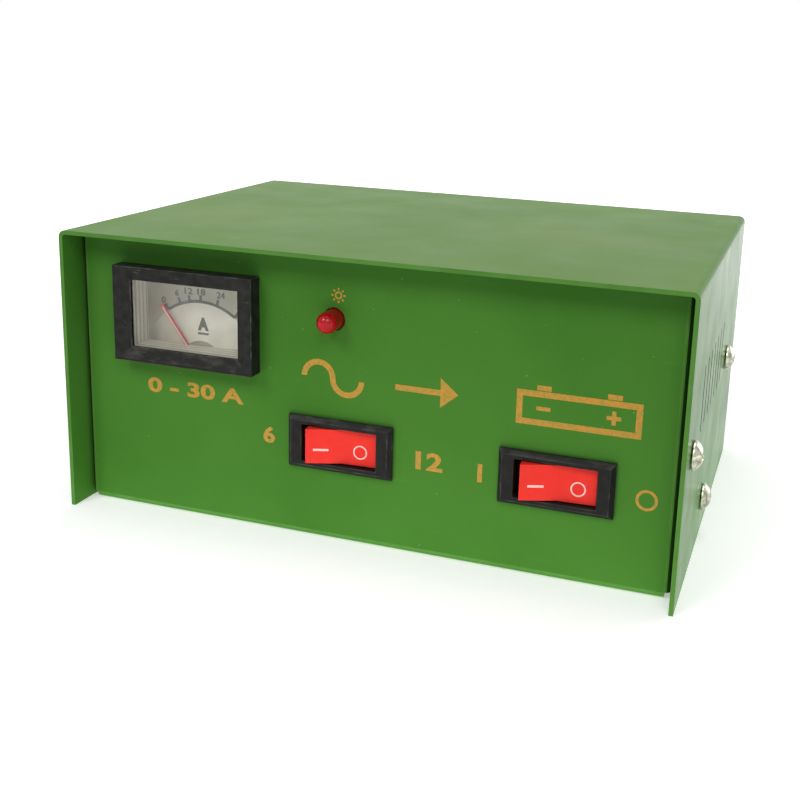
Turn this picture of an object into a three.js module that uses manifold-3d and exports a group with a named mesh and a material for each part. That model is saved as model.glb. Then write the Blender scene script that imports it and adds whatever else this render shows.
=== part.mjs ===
// Car battery charger: a folded steel case that carries an ammeter, a pilot lamp and two rocker switches on
// its front panel, with the transformer, rectifier and fuse inside.
// Millimetres. X runs to the right as seen from the front, Y to the back and Z up. The origin is the middle
// of the footprint, on the surface that the charger stands on.
import * as THREE from "three";
import { mergeVertices } from "three/addons/utils/BufferGeometryUtils.js";
import Module from "manifold-3d";

const wasm = await Module();
wasm.setup();

// ---- Driving sizes ------------------------------------------------------------------------------------

const CASE = {
  width: 180,
  depth: 131,
  height: 84,
  sheet: 1.2,
  bend: 2, // outside radius of every fold
  gap: 0.5, // between the cover and the chassis inside it
  frontRecess: 8.1, // from the cover's front edge back to the front panel
  rearRecess: 22, // from the cover's rear edge in to the rear panel
  tab: 16, // folded side edge of the front and rear panels
  flange: 20, // folded side edge of the floor
  relief: 2, // notch between a tab and a flange
};

const SLITS = { count: 7, first: 30, pitch: 8.45, width: 1.4, low: 39.6, high: 58.3 };

// Pan-head screws: thread and head, and how far the shank reaches under the head.
const SIDE_SCREW = { shank: 1.9, head: 4, headHeight: 2.7, reach: 8 };
const FLOOR_SCREW = { shank: 1.9, head: 3.8, headHeight: 2.4 };
const SIDE_SCREW_PLACES = {
  front: { fromTabFold: 5.6, height: 38.7 }, // in the front panel's tab
  low: { fromMiddle: -12, height: 12 }, // in the floor's flange
  rear: { fromTabFold: 9, height: 42.4 }, // in the rear panel's tab
};

const METER = {
  x: -52.4,
  z: 60.9,
  viewWidth: 34.2,
  viewHeight: 19.6,
  frameSide: 5.05, // frame left and right of the view
  frameEnd: 4.15, // frame above and below it
  frameProud: 5.4,
  rim: 0.8, // flat edge of the frame above and below its bevel
  bevelDrop: 1.4,
  neckBorder: 1.6, // neck outside the view, all round
  neckProud: 2.2,
  windowThickness: 1.1,
  wall: 1.2,
  shoulder: 3.8, // body outside the neck, left and right
  bodyAbove: 2.1, // body above the neck
  bodyBelow: 10.1, // body below the neck
  bodyDepth: 20,
  dialDepth: 5, // from the panel's outer face back to the dial's face
  dialThickness: 0.8,
};

const POINTER = {
  pivotX: 0.4, // from the meter's middle
  pivotZ: -15.3,
  length: 21,
  restAngle: -36, // from upright, to the left
  ahead: 0.9, // gap between the pointer and the dial
  thickness: 0.5,
  rootWidth: 1.1,
  tipWidth: 0.9,
  tail: 3,
  hub: 2,
  staff: 0.9,
  staffCollar: 1.5,
};

const BUSH = { outer: 2.4, length: 6.4, dialGap: 0.6 };

const STUD = { radius: 1.9, spread: 24, height: -4, inside: 2.5, outside: 11, nut: 3.9, nutHeight: 3 };

const LAMP = {
  x: -7.8,
  z: 65,
  radius: 3,
  proud: 7.5,
  flange: 3.6,
  flangeThickness: 1,
  clip: 5.2,
  clipDepth: 6,
};

const SWITCH = {
  rimWidth: 31.4,
  rimHeight: 15.5,
  rimProud: 2.2,
  chamfer: 1.2,
  rimOverEnd: 2.2, // rim outside the body, left and right
  rimOverSide: 1.35, // rim above and below the body
  bodyDepth: 18,
  endWall: 2.3,
  sideWall: 1,
  wellDepth: 10.5,
  rockerEndRoom: 1.1,
  rockerSideRoom: 0.4,
  pivotDepth: 2.2,
  faceHeight: 3, // from the pivot out to the fold in the rocker's face
  faceSlope: 9, // of each half of the face, in degrees
  tilt: 12, // of the rocker either side of its middle position, in degrees
  endDepth: 5.4, // of the rocker's end walls
  keelWidth: 8,
  keelDepth: 5,
  pin: 1.25,
  pinReach: 0.8, // into the housing's wall
  bladeWidth: 6.3,
  bladeThickness: 0.8,
  bladeReach: 9, // behind the body
  bladePitch: 8.5,
  bladeHole: 0.9,
};
const SELECTOR = { x: -5.3, z: 28.8, blades: [-1, 0, 1] };
const POWER = { x: 56.3, z: 28, blades: [0, 1] };

const CORE = {
  leg: 28.6,
  side: 14.3,
  yoke: 14.3,
  windowWidth: 14.3,
  windowHeight: 43,
  stack: 38,
  rearRoom: 1.5, // from the coil to the rear panel
};
const COIL = { wall: 1.2, flange: 1.2, flangeEdge: 0.4, room: 1 };
const CLAMP = { strip: 1.5, width: 30, foot: 11, flangeRoom: 1.4 };

const SINK = {
  width: 38,
  height: 54,
  plate: 2.5,
  foot: 14,
  front: 20,
  wallRoom: 4.6, // from the floor's flange
  innerBend: 1,
  screwInset: 8,
};
const RECTIFIER = { side: 28.5, depth: 10.5, corner: 2.5, z: 33, bore: 2.3, bladeReach: 8, bladeInset: 6.5 };
const RECTIFIER_SCREW = { shank: 1.9, head: 3.6, headHeight: 2.2, past: 4.6, nut: 3.9, nutHeight: 3 };

const FUSE = {
  x: -60,
  y: -28,
  length: 32,
  width: 13,
  base: 4,
  clipWidth: 8,
  clipPast: 2,
  radius: 3,
  over: 1,
};

const GROMMET = { lip: 2.2, inside: 2.2, outside: 2.6, z: 26 };
const MAINS_HOLE = { x: -66, grommet: 7, bore: 4 };
const LEADS_HOLE = { x: -24, grommet: 8.5, bore: 5.2 };

const WIRE = 1.1; // radius of the internal leads

// Clearances, each side
const FIT = {
  seat: 0.2, // faces that rest on each other
  running: 0.08, // a pin that turns in a hole
  slide: 0.3, // a piece that is pushed into an opening
  hole: 0.3, // a screw in a plain hole
  thread: 0.15, // a screw in a tapped hole
};

const ROUND = 24; // sides of a round piece
const SMALL_ROUND = 12; // sides of a small hole or shank
const ARC_STEPS = 4; // steps in a quarter turn of a fold

// ---- Sizes and places worked out from them ------------------------------------------------------------

const FRONT = -CASE.depth / 2;
const BACK = CASE.depth / 2;
const PANEL = FRONT + CASE.frontRecess; // outer face of the front panel
const PANEL_INSIDE = PANEL + CASE.sheet;
const REAR = BACK - CASE.rearRecess; // outer face of the rear panel
const REAR_INSIDE = REAR - CASE.sheet;
const SIDE = CASE.width / 2; // outer face of the cover's sides
const CHASSIS_SIDE = SIDE - CASE.sheet - CASE.gap;
const CHASSIS_TOP = CASE.height - CASE.sheet - CASE.gap;
const FLANGE_INSIDE = CHASSIS_SIDE - CASE.sheet;
const FLOOR = CASE.sheet;
const PAST = 5; // how far a cutting tool runs past the sheet it cuts

const METER_FRAME = {
  width: METER.viewWidth + 2 * METER.frameSide,
  height: METER.viewHeight + 2 * METER.frameEnd,
};
const METER_NECK = {
  width: METER.viewWidth + 2 * METER.neckBorder,
  height: METER.viewHeight + 2 * METER.neckBorder,
};
const METER_BODY = {
  half: METER_NECK.width / 2 + METER.shoulder,
  bottom: -METER_NECK.height / 2 - METER.bodyBelow,
  top: METER_NECK.height / 2 + METER.bodyAbove,
  front: CASE.sheet + FIT.seat,
  back: CASE.sheet + FIT.seat + METER.bodyDepth,
};
const SWITCH_BODY = {
  width: SWITCH.rimWidth - 2 * SWITCH.rimOverEnd,
  height: SWITCH.rimHeight - 2 * SWITCH.rimOverSide,
};
const SWITCH_WELL = {
  width: SWITCH_BODY.width - 2 * SWITCH.endWall,
  height: SWITCH_BODY.height - 2 * SWITCH.sideWall,
};
const ROCKER = {
  width: SWITCH_WELL.width - 2 * SWITCH.rockerEndRoom,
  height: SWITCH_WELL.height - 2 * SWITCH.rockerSideRoom,
};
const CORE_WIDTH = CORE.leg + 2 * CORE.windowWidth + 2 * CORE.side;
const CORE_HEIGHT = CORE.windowHeight + 2 * CORE.yoke;
const FLANGE_REACH = CORE.windowWidth - COIL.room; // of the bobbin's flanges, from the core's middle leg

// ---- Finishes -----------------------------------------------------------------------------------------

function finish(color, roughness, metalness) {
  return new THREE.MeshStandardMaterial({ color, roughness, metalness });
}

const GREEN_PAINT = finish(0x4e823c, 0.35, 0);
const ZINC = finish(0xc4c6c2, 0.25, 1);
const BRASS = finish(0xb98f45, 0.35, 1);
const ALUMINIUM = finish(0xb4b7b9, 0.4, 1);
const LAMINATION = finish(0x5a5550, 0.6, 0.7);
const COPPER = finish(0x9c4a25, 0.4, 0.8);
const BLACK_PLASTIC = finish(0x2b2b29, 0.5, 0);
const GREY_PLASTIC = finish(0xb9b7ad, 0.5, 0);
const BOBBIN_PLASTIC = finish(0xd8d2c0, 0.6, 0);
const RED_PLASTIC = finish(0xeb3c37, 0.35, 0);
const LAMP_RED = finish(0xbe0a1e, 0.15, 0);
const POINTER_RED = finish(0xc8282d, 0.4, 0);
const DIAL_SILVER = finish(0xc8c6b9, 0.45, 0.2);
const RUBBER = finish(0x1c1c1c, 0.8, 0);
const TAPE = finish(0xd9b640, 0.5, 0);
const RED_LEAD = finish(0xb0201c, 0.5, 0);
const BLACK_LEAD = finish(0x1d1d1f, 0.5, 0);
const BLUE_LEAD = finish(0x27509c, 0.5, 0);
const CLEAR = new THREE.MeshStandardMaterial({
  color: 0xffffff,
  roughness: 0.1,
  metalness: 0,
  transparent: true,
  opacity: 0.3,
});

// ---- Making solids ------------------------------------------------------------------------------------

/** A closed solid from a three.js geometry. */
function solid(geometry) {
  const bare = new THREE.BufferGeometry();
  bare.setAttribute("position", geometry.getAttribute("position"));
  bare.setIndex(geometry.getIndex());
  const merged = mergeVertices(bare, 1e-4);
  return new wasm.Manifold(
    new wasm.Mesh({
      numProp: 3,
      vertProperties: merged.getAttribute("position").array,
      triVerts: new Uint32Array(merged.getIndex().array),
    }),
  );
}

/** A named mesh of one solid. */
function part(name, made, material) {
  const { vertProperties, triVerts } = made.getMesh();
  const geometry = new THREE.BufferGeometry();
  geometry.setAttribute("position", new THREE.BufferAttribute(vertProperties, 3));
  geometry.setIndex(new THREE.BufferAttribute(triVerts, 1));
  geometry.computeVertexNormals();
  const mesh = new THREE.Mesh(geometry, material);
  mesh.name = name;
  return mesh;
}

/** A group of parts at a place. */
function assembly(place, ...parts) {
  const group = new THREE.Group();
  group.position.copy(place);
  group.add(...parts);
  return group;
}

/** A rectangular block between two values on each axis. */
function block([x0, x1], [y0, y1], [z0, z1]) {
  const geometry = new THREE.BoxGeometry(x1 - x0, y1 - y0, z1 - z0);
  geometry.translate((x0 + x1) / 2, (y0 + y1) / 2, (z0 + z1) / 2);
  return solid(geometry);
}

const ALONG = {
  x: new THREE.Matrix4().makeBasis(
    new THREE.Vector3(0, 1, 0),
    new THREE.Vector3(0, 0, 1),
    new THREE.Vector3(1, 0, 0),
  ),
  y: new THREE.Matrix4().makeBasis(
    new THREE.Vector3(1, 0, 0),
    new THREE.Vector3(0, 0, 1),
    new THREE.Vector3(0, -1, 0),
  ),
  z: new THREE.Matrix4(),
};

/** A shape run along an axis from low to high. It is drawn in the other two axes, in X, Y, Z order. */
function prism(shape, axis, low, high, extra = {}) {
  const options = { depth: high - low, bevelEnabled: false, curveSegments: ARC_STEPS, ...extra };
  const geometry = new THREE.ExtrudeGeometry(shape, options);
  geometry.applyMatrix4(ALONG[axis]);
  const shift = { x: [low, 0, 0], y: [0, high, 0], z: [0, 0, low] }[axis];
  geometry.translate(...shift);
  return solid(geometry);
}

/** A round rod or hole tool along an axis, from low to high, centred on the other two axes. */
function rod(radius, axis, low, high, [u, v], sides = ROUND) {
  const outline = Array.from({ length: sides }, (_, i) => {
    const angle = (2 * Math.PI * i) / sides;
    return new THREE.Vector2(u + radius * Math.cos(angle), v + radius * Math.sin(angle));
  });
  return prism(new THREE.Shape(outline), axis, low, high);
}

/** A turned solid about Z from pairs of radius and height, which run upwards on the outside. */
function turned(profile, sides = ROUND) {
  const points = profile.map(([radius, height]) => new THREE.Vector2(radius, height));
  const geometry = new THREE.LatheGeometry(points, sides);
  geometry.rotateX(Math.PI / 2);
  return solid(geometry);
}

/** Points of an arc, between two angles in degrees. */
function arc(x, y, radius, from, to, steps = ARC_STEPS) {
  return Array.from({ length: steps + 1 }, (_, i) => {
    const angle = THREE.MathUtils.degToRad(from + ((to - from) * i) / steps);
    return new THREE.Vector2(x + radius * Math.cos(angle), y + radius * Math.sin(angle));
  });
}

/** A rectangle about the origin. */
function rectangle(width, height) {
  return new THREE.Shape([
    new THREE.Vector2(-width / 2, -height / 2),
    new THREE.Vector2(width / 2, -height / 2),
    new THREE.Vector2(width / 2, height / 2),
    new THREE.Vector2(-width / 2, height / 2),
  ]);
}

/** A rectangle with round corners about the origin. */
function roundedRectangle(width, height, radius) {
  const x = width / 2 - radius;
  const y = height / 2 - radius;
  return new THREE.Shape([
    ...arc(x, y, radius, 0, 90),
    ...arc(-x, y, radius, 90, 180),
    ...arc(-x, -y, radius, 180, 270),
    ...arc(x, -y, radius, 270, 360),
  ]);
}

/** A regular hexagon about the origin. */
function hexagon(radius) {
  return new THREE.Shape(arc(0, 0, radius, 0, 300, 5));
}

/** The section of a sheet folded into a channel: its web spans low to high at base, its legs end at tip. */
function channel(low, high, base, tip, sheet = CASE.sheet, bend = CASE.bend) {
  const way = Math.sign(tip - base);
  const inner = bend - sheet;
  const outline = [
    ...arc(low + bend, bend, bend, 180, 270),
    ...arc(high - bend, bend, bend, 270, 360),
    new THREE.Vector2(high, Math.abs(tip - base)),
    new THREE.Vector2(high - sheet, Math.abs(tip - base)),
    ...arc(high - bend, bend, inner, 360, 270),
    ...arc(low + bend, bend, inner, 270, 180),
    new THREE.Vector2(low + sheet, Math.abs(tip - base)),
    new THREE.Vector2(low, Math.abs(tip - base)),
  ];
  return new THREE.Shape(outline.map((p) => new THREE.Vector2(p.x, base + way * p.y)));
}

function union(...solids) {
  return solids.reduce((whole, next) => whole.add(next));
}

function cut(whole, ...tools) {
  return tools.reduce((left, tool) => left.subtract(tool), whole);
}

/** A pan-head screw along Z, with its head above the origin and its shank below. */
function panScrew({ shank, head, headHeight }, reach) {
  const flat = head * 0.45;
  const shoulder = headHeight * 0.45;
  const profile = [
    [0, -reach],
    [shank, -reach],
    [shank, 0],
    [head, 0],
    [head, shoulder],
    ...arc(flat, shoulder, 1, 0, 90, 3)
      .slice(1)
      .map((p) => [flat + (p.x - flat) * (head - flat), shoulder + (p.y - shoulder) * (headHeight - shoulder)]),
    [0, headHeight],
  ];
  return turned(profile, 16);
}

/** A lead along a smooth curve through points. */
function lead(name, material, ...points) {
  const path = new THREE.CatmullRomCurve3(points.map((p) => new THREE.Vector3(...p)));
  const section = new THREE.Shape(arc(0, 0, WIRE, 0, 315, 7));
  const geometry = new THREE.ExtrudeGeometry(section, { steps: 14, bevelEnabled: false, extrudePath: path });
  return part(name, solid(geometry), material);
}

// ---- Case ---------------------------------------------------------------------------------------------

/** Where each side screw goes: its name, Y and Z. */
const SIDE_SCREWS = [
  ["front", PANEL + SIDE_SCREW_PLACES.front.fromTabFold, SIDE_SCREW_PLACES.front.height],
  ["low", SIDE_SCREW_PLACES.low.fromMiddle, SIDE_SCREW_PLACES.low.height],
  ["rear", REAR - SIDE_SCREW_PLACES.rear.fromTabFold, SIDE_SCREW_PLACES.rear.height],
];
const HANDS = [
  ["left", -1],
  ["right", 1],
];

function cover() {
  const shell = prism(channel(-SIDE, SIDE, CASE.height, 0), "y", FRONT, BACK);
  const slits = Array.from({ length: SLITS.count }, (_, i) => {
    const y = FRONT + SLITS.first + i * SLITS.pitch;
    return block(
      [-SIDE - PAST, SIDE + PAST],
      [y - SLITS.width / 2, y + SLITS.width / 2],
      [SLITS.low, SLITS.high],
    );
  });
  const holes = SIDE_SCREWS.map(([, y, z]) =>
    rod(SIDE_SCREW.shank + FIT.hole, "x", -SIDE - PAST, SIDE + PAST, [y, z], SMALL_ROUND),
  );
  return part("cover", cut(shell, ...slits, ...holes), GREEN_PAINT);
}

/** Tools for every opening in the chassis. */
function chassisOpenings() {
  const sideHoles = SIDE_SCREWS.map(([, y, z]) =>
    rod(SIDE_SCREW.shank + FIT.thread, "x", -SIDE, SIDE, [y, z], SMALL_ROUND),
  );
  const floorHoles = FLOOR_SCREWS.map(([, x, y]) =>
    rod(FLOOR_SCREW.shank + FIT.thread, "z", -PAST, FLOOR + PAST, [x, y], SMALL_ROUND),
  );
  const switchHoles = [SELECTOR, POWER].map(({ x, z }) => {
    const halfWidth = SWITCH_BODY.width / 2 + FIT.slide;
    const halfHeight = SWITCH_BODY.height / 2 + FIT.slide;
    return block(
      [x - halfWidth, x + halfWidth],
      [PANEL - PAST, PANEL_INSIDE + PAST],
      [z - halfHeight, z + halfHeight],
    );
  });
  const meterHole = block(
    [METER.x - METER_NECK.width / 2 - FIT.slide, METER.x + METER_NECK.width / 2 + FIT.slide],
    [PANEL - PAST, PANEL_INSIDE + PAST],
    [METER.z - METER_NECK.height / 2 - FIT.slide, METER.z + METER_NECK.height / 2 + FIT.slide],
  );
  const lampHole = rod(LAMP.radius + FIT.slide, "y", PANEL - PAST, PANEL_INSIDE + PAST, [LAMP.x, LAMP.z]);
  const grommetHoles = [MAINS_HOLE, LEADS_HOLE].map(({ x, grommet }) =>
    rod(grommet, "y", REAR_INSIDE - PAST, REAR + PAST, [x, GROMMET.z]),
  );
  return [...sideHoles, ...floorHoles, ...switchHoles, meterHole, lampHole, ...grommetHoles];
}

function chassis() {
  const inset = CHASSIS_SIDE - CASE.bend;
  const panelsAndFloor = prism(channel(PANEL, REAR, 0, CHASSIS_TOP), "x", -inset, inset);
  const frontTabs = prism(
    channel(-CHASSIS_SIDE, CHASSIS_SIDE, PANEL, PANEL + CASE.tab),
    "z",
    CASE.bend,
    CHASSIS_TOP,
  );
  const rearTabs = prism(
    channel(-CHASSIS_SIDE, CHASSIS_SIDE, REAR, REAR - CASE.tab),
    "z",
    CASE.bend,
    CHASSIS_TOP,
  );
  const flanges = prism(
    channel(-CHASSIS_SIDE, CHASSIS_SIDE, 0, CASE.flange),
    "y",
    PANEL + CASE.tab + CASE.relief,
    REAR - CASE.tab - CASE.relief,
  );
  const folded = union(panelsAndFloor, frontTabs, rearTabs, flanges);
  return part("chassis", cut(folded, ...chassisOpenings()), GREEN_PAINT);
}

function sideScrews() {
  const made = panScrew(SIDE_SCREW, SIDE_SCREW.reach);
  return HANDS.flatMap(([hand, way]) =>
    SIDE_SCREWS.map(([place, y, z]) => {
      const screw = part(`cover_screw_${hand}_${place}`, made, ZINC);
      screw.position.set(way * (SIDE + FIT.seat), y, z);
      screw.rotation.y = (way * Math.PI) / 2;
      return screw;
    }),
  );
}

/** A rubber ring with a groove that the rear panel's hole edge sits in. */
function grommet(name, hole) {
  const neck = hole.grommet - FIT.slide;
  const lip = hole.grommet + GROMMET.lip;
  const groove = CASE.sheet + FIT.seat;
  const profile = [
    [hole.bore, FIT.seat - GROMMET.outside],
    [lip - 0.8, FIT.seat - GROMMET.outside],
    [lip, FIT.seat - GROMMET.outside + 0.8],
    [lip, -FIT.seat],
    [neck, -FIT.seat],
    [neck, groove],
    [lip, groove],
    [lip, groove + GROMMET.inside - 0.8],
    [lip - 0.8, groove + GROMMET.inside],
    [hole.bore, groove + GROMMET.inside],
    [hole.bore, FIT.seat - GROMMET.outside],
  ];
  const ring = part(name, turned(profile), RUBBER);
  ring.rotation.x = Math.PI / 2;
  ring.position.set(hole.x, REAR, GROMMET.z);
  return ring;
}

// ---- Ammeter ------------------------------------------------------------------------------------------
// In the meter's own frame, whose origin is the middle of its frame on the panel's outer face.

const METER_BACK_INSIDE = METER_BODY.back - METER.wall;
const WINDOW_FRONT = METER.neckProud + FIT.seat + METER.windowThickness;
const DIAL_BACK = METER.dialDepth + METER.dialThickness;

/** The black frame: a bevel slopes from its rim down to the window. */
function meterFrame() {
  const { frameEnd, frameProud, rim, bevelDrop, viewWidth, viewHeight } = METER;
  const run = frameEnd - rim;
  const frame = prism(rectangle(METER_FRAME.width, METER_FRAME.height), "y", -frameProud, -FIT.seat);
  const bevel = prism(rectangle(viewWidth, viewHeight), "y", -frameProud - PAST, -frameProud, {
    bevelEnabled: true,
    bevelSegments: 1,
    bevelSize: run,
    bevelThickness: bevelDrop,
    bevelOffset: 0,
  });
  const view = prism(rectangle(viewWidth, viewHeight), "y", -frameProud - PAST, PAST);
  const pocket = prism(
    rectangle(METER_NECK.width + 2 * FIT.slide, METER_NECK.height + 2 * FIT.slide),
    "y",
    -WINDOW_FRONT - FIT.seat / 2,
    PAST,
  );
  return part("meter_frame", cut(frame, bevel, view, pocket), BLACK_PLASTIC);
}

function meterWindow() {
  const pane = prism(
    rectangle(METER_NECK.width, METER_NECK.height),
    "y",
    -WINDOW_FRONT,
    -METER.neckProud - FIT.seat,
  );
  return part("meter_window", pane, CLEAR);
}

/** The tub behind the panel, with a neck that comes through it. */
function meterCase() {
  const { half, bottom, top, front, back } = METER_BODY;
  const { wall, neckProud } = METER;
  const tub = cut(
    block([-half, half], [front, back], [bottom, top]),
    block([-half + wall, half - wall], [front + wall, METER_BACK_INSIDE], [bottom + wall, top - wall]),
  );
  const neck = prism(rectangle(METER_NECK.width, METER_NECK.height), "y", -neckProud, front + wall);
  const throat = prism(
    rectangle(METER_NECK.width - 2 * wall, METER_NECK.height - 2 * wall),
    "y",
    -neckProud - PAST,
    front + wall + 0.1,
  );
  const studHoles = [-1, 1].map((way) =>
    rod(
      STUD.radius + FIT.hole,
      "y",
      METER_BACK_INSIDE - PAST,
      METER_BODY.back + PAST,
      [(way * STUD.spread) / 2, STUD.height],
      SMALL_ROUND,
    ),
  );
  return part("meter_case", cut(tub.add(neck), throat, ...studHoles), GREY_PLASTIC);
}

function meterDial() {
  const margin = METER.wall + FIT.slide;
  const half = METER_BODY.half - margin;
  const plate = block(
    [-half, half],
    [METER.dialDepth, DIAL_BACK],
    [METER_BODY.bottom + margin, METER_BODY.top - margin],
  );
  const staffHole = rod(BUSH.outer, "y", 0, METER.bodyDepth, [POINTER.pivotX, POINTER.pivotZ]);
  return part("meter_dial", plate.subtract(staffHole), DIAL_SILVER);
}

/** The pointer with its hub, tail and staff, drawn upright about its pivot and turned to its rest. */
function meterPointer() {
  const { ahead, thickness, rootWidth, tipWidth, length, tail, hub, staff, staffCollar } = POINTER;
  const back = METER.dialDepth - ahead;
  const front = back - thickness;
  const blade = new THREE.Shape([
    new THREE.Vector2(-rootWidth / 2, -tail),
    new THREE.Vector2(rootWidth / 2, -tail),
    new THREE.Vector2(tipWidth / 2, length),
    new THREE.Vector2(-tipWidth / 2, length),
  ]);
  const bushEnd = DIAL_BACK + BUSH.dialGap + BUSH.length;
  const made = union(
    prism(blade, "y", front, back),
    rod(hub, "y", front - 0.3, back + 0.3, [0, 0]),
    rod(staff, "y", front, bushEnd + 1, [0, 0]),
    rod(staffCollar, "y", bushEnd + 0.3, bushEnd + 1, [0, 0]),
  );
  const pointer = part("meter_pointer", made, POINTER_RED);
  pointer.position.set(POINTER.pivotX, 0, POINTER.pivotZ);
  pointer.rotation.y = THREE.MathUtils.degToRad(POINTER.restAngle);
  return pointer;
}

/** The bush that the staff turns in, the bracket that carries it and the coil above it. */
function meterMovement() {
  const start = DIAL_BACK + BUSH.dialGap;
  const middle = [POINTER.pivotX, POINTER.pivotZ];
  const bush = cut(
    rod(BUSH.outer, "y", start, start + BUSH.length, middle),
    rod(POINTER.staff + FIT.running, "y", start - 1, start + BUSH.length + 1, middle),
  );
  const plateFront = start + 2;
  const plateBack = plateFront + 2;
  const plateTop = POINTER.pivotZ + 9;
  const bracket = cut(
    union(
      block([-7, 7], [plateFront, plateBack], [POINTER.pivotZ - 4.4, plateTop]),
      block([-7, 7], [plateFront, METER_BACK_INSIDE - FIT.seat], [plateTop - 2, plateTop]),
    ),
    rod(BUSH.outer + FIT.running, "y", plateFront - 1, plateBack + 1, middle),
  );
  const coilHeight = 9;
  const coilShape = roundedRectangle(17, 9, 3);
  coilShape.holes.push(roundedRectangle(10, 3, 1));
  const coil = prism(coilShape, "z", 0, coilHeight);
  const coilMesh = part("meter_coil", coil, COPPER);
  coilMesh.position.set(0, (DIAL_BACK + METER_BACK_INSIDE) / 2, plateTop + FIT.seat);
  return [part("meter_bush", bush, BRASS), part("meter_bracket", bracket, ZINC), coilMesh];
}

function meterTerminals() {
  return HANDS.flatMap(([hand, way]) => {
    const middle = [(way * STUD.spread) / 2, STUD.height];
    const head = rod(
      STUD.radius + 1.4,
      "y",
      METER_BACK_INSIDE - STUD.inside,
      METER_BACK_INSIDE - FIT.seat,
      middle,
      SMALL_ROUND,
    );
    const shank = rod(
      STUD.radius,
      "y",
      METER_BACK_INSIDE - STUD.inside,
      METER_BODY.back + STUD.outside,
      middle,
      SMALL_ROUND,
    );
    const nutHole = rod(STUD.radius + FIT.thread, "y", -STUD.nutHeight, 2 * STUD.nutHeight, [0, 0], SMALL_ROUND);
    const nut = part(
      `meter_nut_${hand}`,
      prism(hexagon(STUD.nut), "y", 0, STUD.nutHeight).subtract(nutHole),
      BRASS,
    );
    nut.position.set(middle[0], METER_BODY.back + FIT.seat, middle[1]);
    return [part(`meter_stud_${hand}`, head.add(shank), BRASS), nut];
  });
}

function ammeter() {
  return assembly(
    new THREE.Vector3(METER.x, PANEL, METER.z),
    meterFrame(),
    meterWindow(),
    meterCase(),
    meterDial(),
    meterPointer(),
    ...meterMovement(),
    ...meterTerminals(),
  );
}

// ---- Pilot lamp ---------------------------------------------------------------------------------------
// In its own frame: the origin is on the panel's outer face and Z points out of the panel.

function pilotLamp() {
  const { radius, proud, flange, flangeThickness, clip, clipDepth } = LAMP;
  const seat = -CASE.sheet - FIT.seat;
  const lens = turned([
    [0, seat - flangeThickness],
    [flange, seat - flangeThickness],
    [flange, seat],
    [radius, seat],
    ...arc(0, proud - radius, radius, 0, 90, 6)
      .slice(0, -1)
      .map((p) => [p.x, p.y]),
    [0, proud],
  ]);
  const ring = turned([
    [flange + FIT.slide, seat - clipDepth],
    [clip, seat - clipDepth],
    [clip, seat],
    [flange + FIT.slide, seat],
    [flange + FIT.slide, seat - clipDepth],
  ]);
  const lamp = assembly(
    new THREE.Vector3(LAMP.x, PANEL, LAMP.z),
    part("lamp_lens", lens, LAMP_RED),
    part("lamp_clip", ring, BLACK_PLASTIC),
  );
  lamp.rotation.x = Math.PI / 2;
  return lamp;
}

// ---- Rocker switches ----------------------------------------------------------------------------------
// In the switch's own frame, whose origin is the middle of its rim on the panel's outer face.

function bladeMiddles(blades) {
  return blades.map((place) => place * SWITCH.bladePitch);
}

function switchHousing(name, blades) {
  const { rimWidth, rimHeight, rimProud, chamfer, bodyDepth } = SWITCH;
  const rim = prism(
    rectangle(rimWidth - 2 * chamfer, rimHeight - 2 * chamfer),
    "y",
    chamfer - rimProud,
    PAST,
    { bevelEnabled: true, bevelSegments: 1, bevelSize: chamfer, bevelThickness: chamfer },
  ).intersect(block([-rimWidth, rimWidth], [-rimProud - 1, -FIT.seat], [-rimHeight, rimHeight]));
  const body = block(
    [-SWITCH_BODY.width / 2, SWITCH_BODY.width / 2],
    [-FIT.seat - 0.5, bodyDepth],
    [-SWITCH_BODY.height / 2, SWITCH_BODY.height / 2],
  );
  const well = block(
    [-SWITCH_WELL.width / 2, SWITCH_WELL.width / 2],
    [-rimProud - PAST, SWITCH.wellDepth],
    [-SWITCH_WELL.height / 2, SWITCH_WELL.height / 2],
  );
  const pivot = rod(SWITCH.pin + FIT.running, "z", -rimHeight, rimHeight, [0, SWITCH.pivotDepth]);
  const slots = bladeMiddles(blades).map((x) => {
    const halfThickness = SWITCH.bladeThickness / 2 + FIT.seat;
    const halfWidth = SWITCH.bladeWidth / 2 + FIT.seat;
    return block(
      [x - halfThickness, x + halfThickness],
      [SWITCH.wellDepth - 1, bodyDepth + 1],
      [-halfWidth, halfWidth],
    );
  });
  return part(`${name}_housing`, cut(rim.add(body), well, pivot, ...slots), BLACK_PLASTIC);
}

/** The rocker, drawn level about its pivot with its face towards -Y, and tipped with its right end in. */
function rocker(name) {
  const half = ROCKER.width / 2;
  const endFace = -SWITCH.faceHeight - half * Math.tan(THREE.MathUtils.degToRad(SWITCH.faceSlope));
  const endBack = endFace + SWITCH.endDepth;
  const side = new THREE.Shape([
    new THREE.Vector2(-half, endFace),
    new THREE.Vector2(0, -SWITCH.faceHeight),
    new THREE.Vector2(half, endFace),
    new THREE.Vector2(half - 0.5, endBack),
    new THREE.Vector2(SWITCH.keelWidth / 2, SWITCH.keelDepth),
    new THREE.Vector2(-SWITCH.keelWidth / 2, SWITCH.keelDepth),
    new THREE.Vector2(-half + 0.5, endBack),
  ]);
  const pinEnd = SWITCH_WELL.height / 2 + SWITCH.pinReach;
  const made = union(
    prism(side, "z", -ROCKER.height / 2, ROCKER.height / 2),
    rod(SWITCH.pin, "z", -pinEnd, pinEnd, [0, 0]),
  );
  const mesh = part(`${name}_rocker`, made, RED_PLASTIC);
  mesh.position.y = SWITCH.pivotDepth;
  mesh.rotation.z = THREE.MathUtils.degToRad(SWITCH.tilt);
  return mesh;
}

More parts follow.
